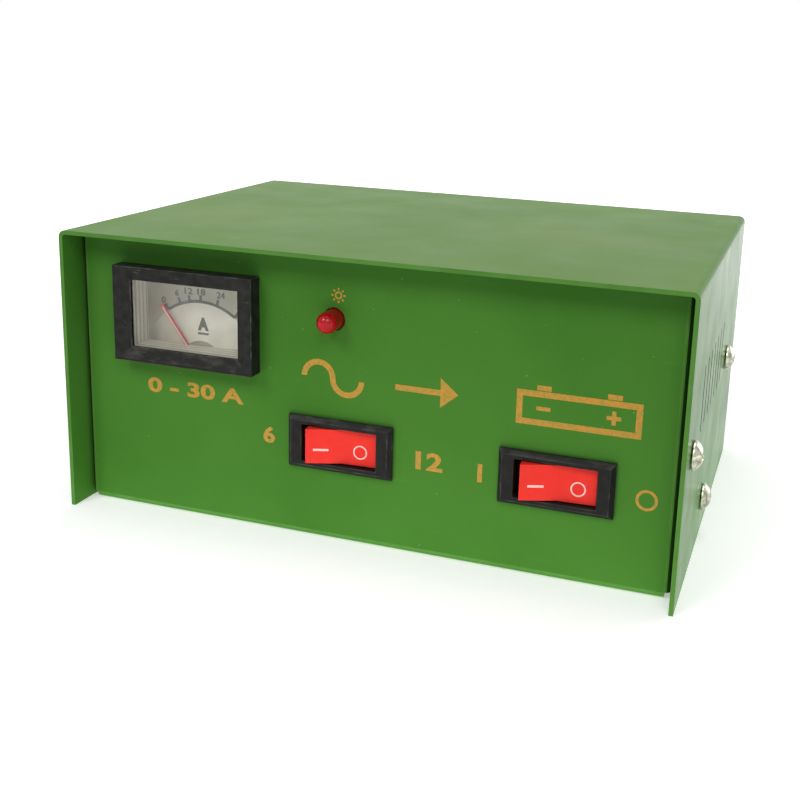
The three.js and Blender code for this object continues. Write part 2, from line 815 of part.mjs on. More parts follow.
function switchBlades(name, blades) {
  return bladeMiddles(blades).map((x, i) => {
    const end = SWITCH.bodyDepth + SWITCH.bladeReach;
    const blade = cut(
      block(
        [x - SWITCH.bladeThickness / 2, x + SWITCH.bladeThickness / 2],
        [SWITCH.wellDepth + FIT.seat, end],
        [-SWITCH.bladeWidth / 2, SWITCH.bladeWidth / 2],
      ),
      rod(SWITCH.bladeHole, "x", x - 1, x + 1, [end - 3.5, 0], SMALL_ROUND),
    );
    return part(`${name}_terminal_${i + 1}`, blade, BRASS);
  });
}

function rockerSwitch(name, { x, z, blades }) {
  return assembly(
    new THREE.Vector3(x, PANEL, z),
    switchHousing(name, blades),
    rocker(name),
    ...switchBlades(name, blades),
  );
}

// ---- Transformer --------------------------------------------------------------------------------------
// In its own frame, whose origin is under the middle of the core, on the floor.

const CLAMP_REACH = CORE_WIDTH / 2 + FIT.seat + CLAMP.strip + CLAMP.foot;
const TRANSFORMER_X = FLANGE_INSIDE - CLAMP.flangeRoom - CLAMP_REACH;
const TRANSFORMER_Y = REAR_INSIDE - CORE.rearRoom - FLANGE_REACH - CORE.stack / 2;
const CLAMP_SCREW_X = CLAMP_REACH - CLAMP.foot / 2;

/** A ring about the core's middle leg: its inner and outer distance from the leg's faces. */
function legRing(inner, outer, low, high) {
  const grow = (room, radius) => roundedRectangle(CORE.leg + 2 * room, CORE.stack + 2 * room, radius);
  const shape = grow(outer, Math.max(outer - inner, 0.5));
  shape.holes.push(grow(inner, 0.4));
  return prism(shape, "z", low, high);
}

function transformerCore() {
  const { windowWidth, windowHeight, stack, leg, yoke } = CORE;
  const low = FIT.seat;
  const core = block(
    [-CORE_WIDTH / 2, CORE_WIDTH / 2],
    [-stack / 2, stack / 2],
    [low, low + CORE_HEIGHT],
  );
  const windows = [-1, 1].map((way) => {
    const near = (way * leg) / 2;
    const far = way * (leg / 2 + windowWidth);
    return block(
      [Math.min(near, far), Math.max(near, far)],
      [-stack, stack],
      [low + yoke, low + yoke + windowHeight],
    );
  });
  return part("transformer_core", cut(core, ...windows), LAMINATION);
}

function transformerCoil() {
  const low = CORE.yoke + FIT.seat + FIT.slide;
  const high = low + CORE.windowHeight - 2 * FIT.slide;
  const inner = FIT.slide;
  const tube = inner + COIL.wall;
  const primaryIn = tube + FIT.seat;
  const secondaryOut = FLANGE_REACH - COIL.flangeEdge;
  const primaryOut = (primaryIn + secondaryOut - FIT.seat) / 2;
  const secondaryIn = primaryOut + FIT.seat;
  const bobbin = union(
    legRing(inner, tube, low, high),
    legRing(inner, FLANGE_REACH, low, low + COIL.flange),
    legRing(inner, FLANGE_REACH, high - COIL.flange, high),
  );
  const coilLow = low + COIL.flange + FIT.seat;
  const coilHigh = high - COIL.flange - FIT.seat;
  return [
    part("transformer_bobbin", bobbin, BOBBIN_PLASTIC),
    part("primary_winding", legRing(primaryIn, primaryOut, coilLow, coilHigh), COPPER),
    part("secondary_winding", legRing(secondaryIn, secondaryOut, coilLow, coilHigh), TAPE),
  ];
}

/** The strap over the core, with a foot on each side. */
function transformerClamp() {
  const inside = CORE_WIDTH / 2 + FIT.seat;
  const outside = inside + CLAMP.strip;
  const top = CORE_HEIGHT + 2 * FIT.seat;
  const half = CLAMP.width / 2;
  const strap = union(
    block([-outside, outside], [-half, half], [top, top + CLAMP.strip]),
    ...[-1, 1].flatMap((way) => {
      const leg = [way * inside, way * outside].sort((a, b) => a - b);
      const foot = [way * inside, way * CLAMP_REACH].sort((a, b) => a - b);
      return [
        block(leg, [-half, half], [FIT.seat, top + CLAMP.strip]),
        block(foot, [-half, half], [FIT.seat, FIT.seat + CLAMP.strip]),
      ];
    }),
  );
  const holes = [-1, 1].map((way) =>
    rod(FLOOR_SCREW.shank + FIT.hole, "z", -1, PAST, [way * CLAMP_SCREW_X, 0], SMALL_ROUND),
  );
  return part("transformer_clamp", cut(strap, ...holes), ZINC);
}

function transformer() {
  return assembly(
    new THREE.Vector3(TRANSFORMER_X, TRANSFORMER_Y, FLOOR),
    transformerCore(),
    ...transformerCoil(),
    transformerClamp(),
  );
}

// ---- Heat sink and rectifier --------------------------------------------------------------------------

const SINK_LEFT = -FLANGE_INSIDE + SINK.wallRoom;
const SINK_X = SINK_LEFT + SINK.width / 2;
const SINK_BACK = SINK.front + SINK.plate;
const SINK_SCREW_Y = SINK_BACK + SINK.foot / 2;

function heatSink() {
  const base = FLOOR + FIT.seat;
  const bend = SINK.innerBend + SINK.plate;
  const section = new THREE.Shape([
    ...arc(SINK.front + bend, base + bend, bend, 180, 270),
    new THREE.Vector2(SINK_BACK + SINK.foot, base),
    new THREE.Vector2(SINK_BACK + SINK.foot, base + SINK.plate),
    ...arc(SINK.front + bend, base + bend, SINK.innerBend, 270, 180),
    new THREE.Vector2(SINK_BACK, base + SINK.height),
    new THREE.Vector2(SINK.front, base + SINK.height),
  ]);
  const plate = prism(section, "x", SINK_LEFT, SINK_LEFT + SINK.width);
  const footHoles = SINK_SCREWS.map(([, x, y]) =>
    rod(FLOOR_SCREW.shank + FIT.hole, "z", 0, FLOOR + PAST, [x, y], SMALL_ROUND),
  );
  const bodyHole = rod(RECTIFIER.bore, "y", SINK.front - 1, SINK_BACK + 1, [SINK_X, RECTIFIER.z], SMALL_ROUND);
  return part("heat_sink", cut(plate, ...footHoles, bodyHole), ALUMINIUM);
}

/** The bridge rectifier on the sink's front face, with a blade at each corner. */
function rectifier() {
  const back = -FIT.seat;
  const front = back - RECTIFIER.depth;
  const reach = RECTIFIER.side / 2 - RECTIFIER.bladeInset;
  const body = prism(roundedRectangle(RECTIFIER.side, RECTIFIER.side, RECTIFIER.corner), "y", front, back);
  const blades = [-1, 1].flatMap((across) =>
    [-1, 1].map((up) =>
      block(
        [across * reach - SWITCH.bladeThickness / 2, across * reach + SWITCH.bladeThickness / 2],
        [front - RECTIFIER.bladeReach, front + 1],
        [up * reach - SWITCH.bladeWidth / 2, up * reach + SWITCH.bladeWidth / 2],
      ),
    ),
  );
  const bore = rod(RECTIFIER.bore, "y", front - PAST, back + 1, [0, 0], SMALL_ROUND);
  const shankLength = RECTIFIER.depth + SINK.plate + 2 * FIT.seat + RECTIFIER_SCREW.past;
  const screw = part("rectifier_screw", panScrew(RECTIFIER_SCREW, shankLength), ZINC);
  screw.rotation.x = Math.PI / 2;
  screw.position.y = front - FIT.seat;
  const nutHole = rod(RECTIFIER_SCREW.shank + FIT.thread, "y", -1, 2 * RECTIFIER_SCREW.nutHeight, [0, 0], SMALL_ROUND);
  const nut = part(
    "rectifier_nut",
    prism(hexagon(RECTIFIER_SCREW.nut), "y", 0, RECTIFIER_SCREW.nutHeight).subtract(nutHole),
    ZINC,
  );
  nut.position.y = SINK.plate + FIT.seat;
  return assembly(
    new THREE.Vector3(SINK_X, SINK.front, RECTIFIER.z),
    part("rectifier", union(body, ...blades).subtract(bore), BLACK_PLASTIC),
    screw,
    nut,
  );
}

// ---- Fuse ---------------------------------------------------------------------------------------------
// In its own frame, whose origin is under the middle of the block, on the floor.

const FUSE_TOP = FIT.seat + FUSE.base;
const FUSE_AXIS = FUSE_TOP + FIT.seat + FLOOR_SCREW.headHeight + FUSE.over + FUSE.radius;

function fuseHolder() {
  const half = FUSE.length / 2;
  const clipTop = FUSE_AXIS + FUSE.clipPast;
  const foot = block([-half, half], [-FUSE.width / 2, FUSE.width / 2], [FIT.seat, FUSE_TOP]);
  const posts = [-1, 1].map((way) => {
    const span = [way * half, way * (half - FUSE.clipWidth)].sort((a, b) => a - b);
    return block(span, [-FUSE.width / 2, FUSE.width / 2], [FUSE_TOP - 0.5, clipTop]);
  });
  const trough = rod(FUSE.radius + FIT.seat, "x", -half - 1, half + 1, [0, FUSE_AXIS], 16);
  const mouth = block(
    [-half - 1, half + 1],
    [-FUSE.radius * 0.8, FUSE.radius * 0.8],
    [FUSE_AXIS, clipTop + 1],
  );
  const screwHole = rod(FLOOR_SCREW.shank + FIT.hole, "z", 0, FUSE_TOP + 1, [0, 0], SMALL_ROUND);
  return part("fuse_block", cut(union(foot, ...posts), trough, mouth, screwHole), BOBBIN_PLASTIC);
}

function fuse() {
  const half = FUSE.length / 2 - 1;
  const cap = 6;
  const body = union(
    rod(FUSE.radius - 0.3, "x", -half + 1, half - 1, [0, FUSE_AXIS], 16),
    rod(FUSE.radius, "x", -half, -half + cap, [0, FUSE_AXIS], 16),
    rod(FUSE.radius, "x", half - cap, half, [0, FUSE_AXIS], 16),
  );
  return part("fuse", body, ZINC);
}

// ---- Screws into the floor ----------------------------------------------------------------------------

const CLAMP_SCREWS = HANDS.map(([hand, way]) => [
  `transformer_screw_${hand}`,
  TRANSFORMER_X + way * CLAMP_SCREW_X,
  TRANSFORMER_Y,
  CLAMP.strip,
]);
const SINK_SCREWS = HANDS.map(([hand, way]) => [
  `heat_sink_screw_${hand}`,
  SINK_X + way * (SINK.width / 2 - SINK.screwInset),
  SINK_SCREW_Y,
  SINK.plate,
]);
const FUSE_SCREW = ["fuse_screw", FUSE.x, FUSE.y, FUSE.base];
/** Every screw into the floor: its name, X and Y, and the thickness that it holds down. */
const FLOOR_SCREWS = [...CLAMP_SCREWS, ...SINK_SCREWS, FUSE_SCREW];

function floorScrews() {
  return FLOOR_SCREWS.map(([name, x, y, held]) => {
    const seat = FLOOR + 2 * FIT.seat + held;
    const screw = part(name, panScrew(FLOOR_SCREW, seat - FIT.seat), ZINC);
    screw.position.set(x, y, seat);
    return screw;
  });
}

// ---- Internal leads -----------------------------------------------------------------------------------

/** The leads that join the switches, transformer, rectifier, meter, fuse and lamp. */
function leads() {
  return [
    lead(
      "primary_lead",
      BLACK_LEAD,
      [64.8, -29.9, 28],
      [64.8, -28, 28.3],
      [65, -26, 32],
      [65, -22, 50],
      [58, -20, 65],
      [49, -18, 66],
      [47, -17, 61.5],
      [47, -17, 59.3],
    ),
    lead(
      "low_tap_lead",
      BLUE_LEAD,
      [-13.8, -29.9, 28.8],
      [-13.8, -28, 29.1],
      [-13.8, -27, 32],
      [-9, -27, 50],
      [4, -25, 64],
      [14, -20, 66],
      [16, -18, 61.5],
      [16, -18, 59.3],
    ),
    lead(
      "high_tap_lead",
      BLUE_LEAD,
      [3.2, -29.9, 28.8],
      [3.2, -28, 29.1],
      [3.2, -27, 32],
      [6, -27.5, 50],
      [16, -26.5, 64],
      [24, -21, 66],
      [26, -18, 61.5],
      [26, -18, 59.3],
    ),
    lead(
      "common_lead",
      BLUE_LEAD,
      [-5.3, -29.9, 28.8],
      [-5.3, -28, 28.5],
      [-7, -26, 26],
      [-16, -24, 24],
      [-34, -16, 34],
      [-50, -7, 41],
      [-55.8, -1.5, 40.8],
      [-55.8, 0.9, 40.8],
    ),
    lead(
      "meter_lead",
      RED_LEAD,
      [-71.3, 0.9, 40.8],
      [-71.3, -1.5, 40.8],
      [-71, -6, 42],
      [-68, -14, 51],
      [-64.6, -19, 56.4],
      [-64.4, -22.5, 56.9],
      [-64.4, -24.7, 56.9],
    ),
    lead(
      "fuse_lead",
      RED_LEAD,
      [-40.4, -24.7, 56.9],
      [-40.4, -22.5, 56.9],
      [-40.4, -19, 55],
      [-36, -24, 38],
      [-35, -30, 20],
      [-38.5, -28.5, 12.5],
      [-41.5, -28, 12],
      [-43.6, -28, 12],
    ),
    lead(
      "lamp_lead",
      BLACK_LEAD,
      [-7.8, -54.5, 65],
      [-7.8, -52, 65],
      [-7.8, -46, 66],
      [8, -36, 69],
      [30, -26, 70],
      [38, -20, 67],
      [38, -18, 61.5],
      [38, -18, 59.3],
    ),
  ];
}

// ---- The charger --------------------------------------------------------------------------------------

const charger = new THREE.Group();
charger.add(
  cover(),
  chassis(),
  ...sideScrews(),
  grommet("mains_grommet", MAINS_HOLE),
  grommet("leads_grommet", LEADS_HOLE),
  ammeter(),
  pilotLamp(),
  rockerSwitch("selector", SELECTOR),
  rockerSwitch("power", POWER),
  transformer(),
  heatSink(),
  rectifier(),
  assembly(new THREE.Vector3(FUSE.x, FUSE.y, FLOOR), fuseHolder(), fuse()),
  ...floorScrews(),
  ...leads(),
);

export default charger;
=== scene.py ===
"""The looks of a bench battery charger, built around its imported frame.

Lengths are in metres, +Z is up and the front panel faces -Y. The case is a folded steel cover over a
folded steel chassis. The front panel carries an ammeter, a pilot lamp and two rocker switches; the
transformer, the rectifier on its heat sink and the fuse stand on the floor behind it.
"""

from __future__ import annotations

import logging
import math
from collections.abc import Iterable, Sequence
from dataclasses import dataclass
from enum import Enum
from functools import cache, reduce
from typing import Any

import bmesh
import bpy
from mathutils import Matrix, Vector
from mathutils.bvhtree import BVHTree


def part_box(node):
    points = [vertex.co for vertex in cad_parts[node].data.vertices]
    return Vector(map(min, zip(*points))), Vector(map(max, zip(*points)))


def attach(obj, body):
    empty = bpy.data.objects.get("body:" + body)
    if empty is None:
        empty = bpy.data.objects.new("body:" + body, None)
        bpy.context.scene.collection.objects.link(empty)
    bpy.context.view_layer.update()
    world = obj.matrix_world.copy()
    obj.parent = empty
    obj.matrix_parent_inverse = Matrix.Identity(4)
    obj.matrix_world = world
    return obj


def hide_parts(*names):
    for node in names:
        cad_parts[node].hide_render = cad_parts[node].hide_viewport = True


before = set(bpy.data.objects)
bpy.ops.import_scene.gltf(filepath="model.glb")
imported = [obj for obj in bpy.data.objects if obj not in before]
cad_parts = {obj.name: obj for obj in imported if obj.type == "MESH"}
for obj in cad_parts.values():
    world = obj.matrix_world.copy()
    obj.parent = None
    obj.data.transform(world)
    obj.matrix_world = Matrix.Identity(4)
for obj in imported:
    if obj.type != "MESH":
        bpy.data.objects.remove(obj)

LOG = logging.getLogger("charger")
MM = 0.001
FULL_TURN = 2 * math.pi

SHARP = 40.0  # in degrees: an edge that turns more is rounded
CREASE = 38.0  # in degrees: an edge that turns less is shaded smooth
WELD = 0.5e-6  # corners closer than this are one
SINK = 0.01 * MM  # how far ink lies into the surface that it is printed on

EDGE_NAME = "edge"  # each face's mark: painted shade below 0, down to SHADED; plain at 0; wear above 0, up to WORN, which on plastic's upward sloping faces is a painted highlight
WORN = 1.0
# the mark of full painted shade
SHADED = -1.0

Colour = tuple[float, float, float, float]
Shape = bmesh.types.BMesh
Socket = bpy.types.NodeSocket


class Body(Enum):
    """The rigid bodies that pieces ride on."""

    CASE = "case"
    SELECTOR = "selector"
    POWER = "power"
    POINTER = "pointer"


class Axis(Enum):
    """A direction of the frame."""

    X = Vector((1, 0, 0))
    Y = Vector((0, 1, 0))
    Z = Vector((0, 0, 1))


def rgb(red: float, green: float, blue: float) -> Colour:
    """Turns a colour written as 0 to 255 into the linear values that a shader takes."""
    linear = [((c / 255 + 0.055) / 1.055) ** 2.4 if c > 10 else c / 255 / 12.92 for c in (red, green, blue)]
    return (*linear, 1.0)


# ---- Finishes ------------------------------------------------------------------------------------------


class Graph:
    """The node tree of one material, with a short call for each kind of node."""

    def __init__(self, owner: bpy.types.Material | bpy.types.World) -> None:
        """Starts an empty tree.

        Args:
            owner: The material or the world whose tree it is.
        """
        owner.use_nodes = True
        self.tree = owner.node_tree
        self.tree.nodes.clear()
        kind = "World" if isinstance(owner, bpy.types.World) else "Material"
        self.output = self.node("ShaderNodeOutput" + kind)
        self.place = self.node("ShaderNodeTexCoord").outputs["Object"]

    def node(self, kind: str, inputs: dict | None = None, **settings: Any) -> bpy.types.Node:
        """Adds a node.

        Args:
            kind: The node's type.
            inputs: What each input takes, by name or number: another node's socket or a plain value.
            settings: The node's own settings.

        Returns:
            The node.
        """
        made = self.tree.nodes.new(kind)
        for key, value in settings.items():
            setattr(made, key, value)
        for key, value in (inputs or {}).items():
            if isinstance(value, Socket):
                self.tree.links.new(value, made.inputs[key])
            else:
                made.inputs[key].default_value = value
        return made

    def scaled(self, size: float, stretch: Sequence[float] = (1, 1, 1)) -> Socket:
        """Gives the place in units of size, drawn out along each axis by stretch."""
        scale = [1 / (size * s) for s in stretch]
        return self.node("ShaderNodeMapping", {"Vector": self.place, "Scale": scale}).outputs[0]

    def about(self, centre: Vector) -> Socket:
        """Gives the place measured from a centre."""
        return self.node("ShaderNodeMapping", {"Vector": self.place, "Location": -centre}).outputs[0]

    def noise(
        self, size: float, detail: float = 2.0, stretch: Sequence[float] = (1, 1, 1), rough: float = 0.5
    ) -> Socket:
        """Adds soft noise.

        Args:
            size: The width of its features.
            detail: How many finer layers it has.
            stretch: How far the features are drawn out along each axis.
            rough: How strong the finer layers are.

        Returns:
            A value from 0 to 1.
        """
        inputs = {"Vector": self.scaled(size, stretch), "Scale": 1.0, "Detail": detail, "Roughness": rough}
        return self.node("ShaderNodeTexNoise", inputs).outputs[0]

    def patches(
        self, size: float, detail: float, low: float, high: float, at_low: float = 0.0, at_high: float = 1.0,
        stretch: Sequence[float] = (1, 1, 1),
    ) -> Socket:
        """Adds soft noise whose values from low to high become at_low to at_high."""
        return self.spread(self.noise(size, detail, stretch), low, high, at_low, at_high)

    def dots(self, spacing: float, radius: float) -> Socket:
        """Adds small round dots.

        Args:
            spacing: About how far apart they lie.
            radius: A dot's radius.

        Returns:
            1 inside a dot and 0 elsewhere.
        """
        inputs = {"Vector": self.scaled(spacing), "Scale": 1.0}
        far = self.node("ShaderNodeTexVoronoi", inputs).outputs["Distance"]
        edge = radius / spacing
        return self.spread(far, edge * 0.6, edge, 1.0, 0.0)

    def bands(self, width: float, axis: Axis, waver: float = 0.0) -> Socket:
        """Gives a value that goes up and down once per width along an axis.

        Args:
            width: The width of one band.
            axis: The direction across the bands.
            waver: How unevenly they run.

        Returns:
            A value from 0 to 1.
        """
        # A wave of scale 1 repeats every tenth of a full turn over two units.
        inputs = {"Vector": self.scaled(width), "Scale": FULL_TURN / 20, "Distortion": waver}
        settings = {"wave_type": "BANDS", "bands_direction": axis.name, "wave_profile": "SIN"}
        return self.node("ShaderNodeTexWave", inputs, **settings).outputs["Fac"]

    def spread(
        self, value: Socket, low: float, high: float, at_low: float = 0.0, at_high: float = 1.0
    ) -> Socket:
        """Maps a value from the range low to high onto the range at_low to at_high, and stops there."""
        inputs = {0: value, 1: low, 2: high, 3: at_low, 4: at_high}
        return self.node("ShaderNodeMapRange", inputs, clamp=True).outputs[0]

    def sum(self, kind: str, first: Any, second: Any = 0.0) -> Socket:
        """Adds a Math node of a kind such as MULTIPLY."""
        return self.node("ShaderNodeMath", {0: first, 1: second}, operation=kind).outputs[0]

    def mix(self, amount: Any, first: Any, second: Any) -> Socket:
        """Mixes two colours: the first where amount is 0 and the second where it is 1."""
        return self.node("ShaderNodeMix", {0: amount, 6: first, 7: second}, data_type="RGBA").outputs[2]

    def bump(self, height: Any, depth: float, under: Socket | None = None) -> Socket:
        """Turns a height into a surface normal.

        Args:
            height: A value from 0 to 1.
            depth: How deep a change of 1 is.
            under: The normal of a coarser bump that this one lies on.

        Returns:
            The normal.
        """
        inputs = {"Height": height, "Strength": 1.0, "Distance": depth}
        if under is not None:
            inputs["Normal"] = under
        return self.node("ShaderNodeBump", inputs).outputs[0]

    def product(self, *factors: Any) -> Socket:
        """Multiplies values together."""
        return reduce(lambda first, second: self.sum("MULTIPLY", first, second), factors)

    def facing(self) -> Socket:
        """Gives 0 where the surface faces the view and 1 where it lies along it."""
        return self.node("ShaderNodeLayerWeight", {"Blend": 0.5}).outputs["Facing"]

    def edge(self) -> Socket:
        """Gives each face's mark, from painted shade at SHADED through plain at 0 to wear at WORN."""
        return self.node("ShaderNodeAttribute", attribute_name=EDGE_NAME).outputs["Fac"]

    def seen(self, unseen: float, seen: float) -> Socket:
        """Gives one value to what is looked at and another to all other light.

        Args:
            unseen: The value for all other light.
            seen: The value for the eye, for reflections and through glass.

        Returns:
            The value.
        """
        path = self.node("ShaderNodeLightPath").outputs
        either = self.sum("MAXIMUM", path["Is Camera Ray"], path["Is Glossy Ray"])
        any_ray = self.sum("MAXIMUM", either, path["Is Transmission Ray"])
        return self.spread(any_ray, 0.0, 1.0, unseen, seen)

    def show(self, shader: bpy.types.Node) -> None:
        """Makes a shader the material's surface."""
        self.tree.links.new(shader.outputs[0], self.output.inputs["Surface"])

    def principled(self, **inputs: Any) -> None:
        """Ends the material in one Principled shader; underscores in the names stand for spaces."""
        named = {name.replace("_", " "): value for name, value in inputs.items()}
        self.show(self.node("ShaderNodeBsdfPrincipled", named))


@dataclass(frozen=True)
class Finish:
    """A surface finish, made into a material the first time a piece needs it.

    Attributes:
        name: The material's name.
        slot: The record's material slot; not used.
    """

    name: str
    slot: str

    @cache
    def material(self) -> bpy.types.Material:
        """Makes the finish's material, once.

        Returns:
            The material.
        """
        made = bpy.data.materials.new("finish_" + self.name)
        self.shade(Graph(made))
        return made

    def shade(self, graph: Graph) -> None:
        """Lays the finish's nodes."""
        raise NotImplementedError


@dataclass(frozen=True)
class Paint(Finish):
    """Stoved gloss paint on sheet steel, with an orange-peel skin, dust, thin edges and painted shade in the
    slits, on their lips and in the panel's upright bends.

    Attributes:
        cloud: The width of the clouds in its tone.
        age: The width of the paler patches on the faces that look up.
        mottle: The width of its fine mottling.
        fleck: The radius of a fleck of dust.
        flecks: How far apart the flecks lie.
        scratch: The width of a scratch.
        scratches: The width of the places that are scratched.
        chip: The width of the stretches of an edge that have worn thin.
        peel: The width of the skin's waves.
        peel_depth: Their depth.
        ripple: The width of the skin's finest waves.
        ripple_depth: Their depth.
    """

    colour: Colour = rgb(72, 126, 46)
    deep: Colour = rgb(64, 118, 40)
    thin: Colour = rgb(120, 166, 90)
    dust: Colour = rgb(176, 190, 140)
    # the paler olive that faces looking up are mixed toward in patches
    stain: Colour = rgb(150, 142, 84)
    # the colour of the painted shade on faces marked below 0
    painted_shade: Colour = rgb(26, 44, 20)
    cloud: float = 55 * MM
    age: float = 70 * MM
    mottle: float = 0.7 * MM
    fleck: float = 0.22 * MM
    flecks: float = 6 * MM
    scratch: float = 0.16 * MM
    scratches: float = 24 * MM
    chip: float = 9 * MM
    peel: float = 0.9 * MM
    peel_depth: float = 0.012 * MM
    ripple: float = 0.22 * MM
    ripple_depth: float = 0.0012 * MM

    def shade(self, graph: Graph) -> None:
        """Lays the paint.

        Args:
            graph: The material's tree.
        """
        tone = graph.patches(self.cloud, 4, 0.35, 0.65)
        grain = graph.patches(self.mottle, 2, 0.3, 0.7, 0.0, 0.35)
        body = graph.mix(graph.sum("ADD", tone, grain), self.deep, self.colour)
        normal = graph.node("ShaderNodeNewGeometry").outputs["Normal"]
        upward = graph.spread(graph.node("ShaderNodeSeparateXYZ", {0: normal}).outputs["Z"], 0.2, 1.0)
        # faces that look up are mixed in patches toward a paler olive
        top_patches = graph.patches(self.age, 3, 0.45, 0.75, 0.16, 0.3)
        top_toned = graph.mix(graph.product(upward, top_patches), body, self.stain)
        dusty = graph.mix(graph.product(graph.dots(self.flecks, self.fleck), 0.45), top_toned, self.dust)
        rub = graph.patches(self.scratch, 1, 0.68, 0.74, stretch=(60, 60, 1))
        where = graph.patches(self.scratches, 2, 0.55, 0.7)
        rubbed = graph.mix(graph.product(rub, where, 0.3), dusty, self.thin)
        wear = graph.product(graph.edge(), graph.patches(self.chip, 3, 0.3, 0.6, 0.35, 0.9))
        # painted shade: faces marked below 0 darken toward the shade colour
        painted_shade = graph.spread(graph.edge(), 0.9 * SHADED, 0.1 * SHADED, 1.0, 0.0)
        gloss = graph.patches(18 * MM, 5, 0.3, 0.7, 0.19, 0.27)
        skin = graph.bump(graph.noise(self.peel, 1.5), self.peel_depth)
        graph.principled(
            Base_Color=graph.mix(painted_shade, graph.mix(wear, rubbed, self.thin), self.painted_shade),
            Roughness=graph.sum("ADD", gloss, graph.product(upward, 0.1)),
            Specular_IOR_Level=0.03,
            Normal=graph.bump(graph.noise(self.ripple, 2), self.ripple_depth, skin),
        )


@dataclass(frozen=True)
class Moulding(Finish):
    """Moulded plastic: a fine sparked grain, slight mottling, rubbed edges, a few scuffs, and a painted
    highlight on the upward sloping faces that a piece marks.

    Attributes:
        grain: The width of the sparked grain.
        grain_depth: Its depth.
        scuffs: How strong the scuffs are.
        sheen: How strongly it reflects.
        sink: The width of the hollows that its cooling left.
        sink_depth: Their depth.
    """

    colour: Colour = rgb(26, 26, 25)
    # the colour of rubbed edges and scuffs, and of the painted highlight on upward sloping faces
    rubbed: Colour = rgb(88, 87, 82)
    roughness: float = 0.42
    grain: float = 0.16 * MM
    grain_depth: float = 0.01 * MM
    scuffs: float = 0.35
    sheen: float = 0.12
    sink: float = 3.5 * MM
    sink_depth: float = 0.02 * MM

    def shade(self, graph: Graph) -> None:
        """Lays the plastic.

        Args:
            graph: The material's tree.
        """
        mottle = graph.patches(2.6 * MM, 4, 0.35, 0.7, 0.0, 0.08)
        scrape = graph.patches(0.35 * MM, 3, 0.6, 0.72, stretch=(9, 1, 1))
        where = graph.patches(7 * MM, 2, 0.54, 0.66)
        scuff = graph.product(scrape, where, self.scuffs)
        # edge wear, and the painted highlight on faces that refined() marks as looking up and forwards
        worn = graph.product(graph.edge(), graph.patches(2.4 * MM, 5, 0.46, 0.66, 0.1, 0.6, (2, 1, 1)))
        marks = graph.sum("MAXIMUM", graph.sum("MAXIMUM", scuff, mottle), worn)
        skin = graph.bump(graph.noise(self.grain, 2), self.grain_depth)
        smooth, dry = self.roughness - 0.06, self.roughness + 0.08
        graph.principled(
            Base_Color=graph.mix(marks, self.colour, self.rubbed),
            Roughness=graph.patches(4 * MM, 4, 0.3, 0.7, smooth, dry),
            Specular_IOR_Level=self.sheen,
            Normal=graph.bump(graph.noise(self.sink, 1), self.sink_depth, skin),
        )


@dataclass(frozen=True)
class Metal(Finish):
    """Bare or plated metal with tool marks along one way, dull patches and bright edges.

    Attributes:
        lay: How far the tool marks are drawn out along each axis.
        patch: The width of a dull patch.
        mark: The width of a tool mark.
        mark_depth: Its depth.
    """

    colour: Colour = rgb(200, 200, 196)
    dull: Colour = rgb(150, 148, 140)
    roughness: float = 0.24
    lay: tuple[float, float, float] = (1, 1, 1)
    patch: float = 2.4 * MM
    mark: float = 0.08 * MM
    mark_depth: float = 0.003 * MM

    def shade(self, graph: Graph) -> None:
        """Lays the metal.

        Args:
            graph: The material's tree.
        """
        patch = graph.patches(self.patch, 5, 0.38, 0.68)
        bright = graph.sum("SUBTRACT", patch, graph.product(graph.edge(), 0.5))
        graph.principled(
            Base_Color=graph.mix(graph.spread(bright, 0.0, 1.0, 0.0, 0.8), self.colour, self.dull),
            Metallic=1.0,
            Roughness=graph.spread(patch, 0.0, 1.0, self.roughness, self.roughness + 0.16),
            Normal=graph.bump(graph.noise(self.mark, 2, self.lay), self.mark_depth),
        )


@dataclass(frozen=True)
class Layers(Finish):
    """A stack or a winding: even ridges along one axis, each with its own tone.

    Attributes:
        pitch: The width of a ridge.
        depth: Its depth.
        waver: How unevenly the ridges run.
        lump: The width of the lumps under them.
        lump_depth: Their depth.
    """

    colour: Colour = rgb(120, 118, 112)
    groove: Colour = rgb(62, 58, 54)
    stain: Colour = rgb(110, 82, 52)
    axis: Axis = Axis.Y
    pitch: float = 0.5 * MM
    depth: float = 0.08 * MM
    roughness: float = 0.4
    metallic: float = 0.8
    waver: float = 0.4
    lump: float = 1.5 * MM
    lump_depth: float = 0.02 * MM

    def shade(self, graph: Graph) -> None:
        """Lays the ridges.

        Args:
            graph: The material's tree.
        """
        ridge = graph.bands(self.pitch, self.axis, self.waver)
        tone = graph.mix(graph.spread(ridge, 0.1, 0.5), self.groove, self.colour)
        varnish = graph.patches(9 * MM, 4, 0.45, 0.7, 0.0, 0.6)
        lumps = graph.bump(graph.noise(self.lump, 3), self.lump_depth)
        graph.principled(
            Base_Color=graph.mix(varnish, tone, self.stain),
            Metallic=self.metallic,
            Roughness=graph.spread(varnish, 0.0, 0.6, self.roughness, self.roughness - 0.12),
            Normal=graph.bump(ridge, self.depth, lumps),
        )


@dataclass(frozen=True)
class Rubber(Finish):
    """Soft black rubber with a pale bloom."""

    colour: Colour = rgb(28, 28, 27)
    bloom: Colour = rgb(66, 65, 62)

    def shade(self, graph: Graph) -> None:
        """Lays the rubber.

        Args:
            graph: The material's tree.
        """
        bloom = graph.patches(3 * MM, 5, 0.4, 0.75, 0.0, 0.5)
        graph.principled(
            Base_Color=graph.mix(bloom, self.colour, self.bloom),
            Roughness=graph.spread(bloom, 0.0, 0.5, 0.55, 0.75),
            Normal=graph.bump(graph.noise(0.25 * MM, 3), 0.012 * MM),
        )


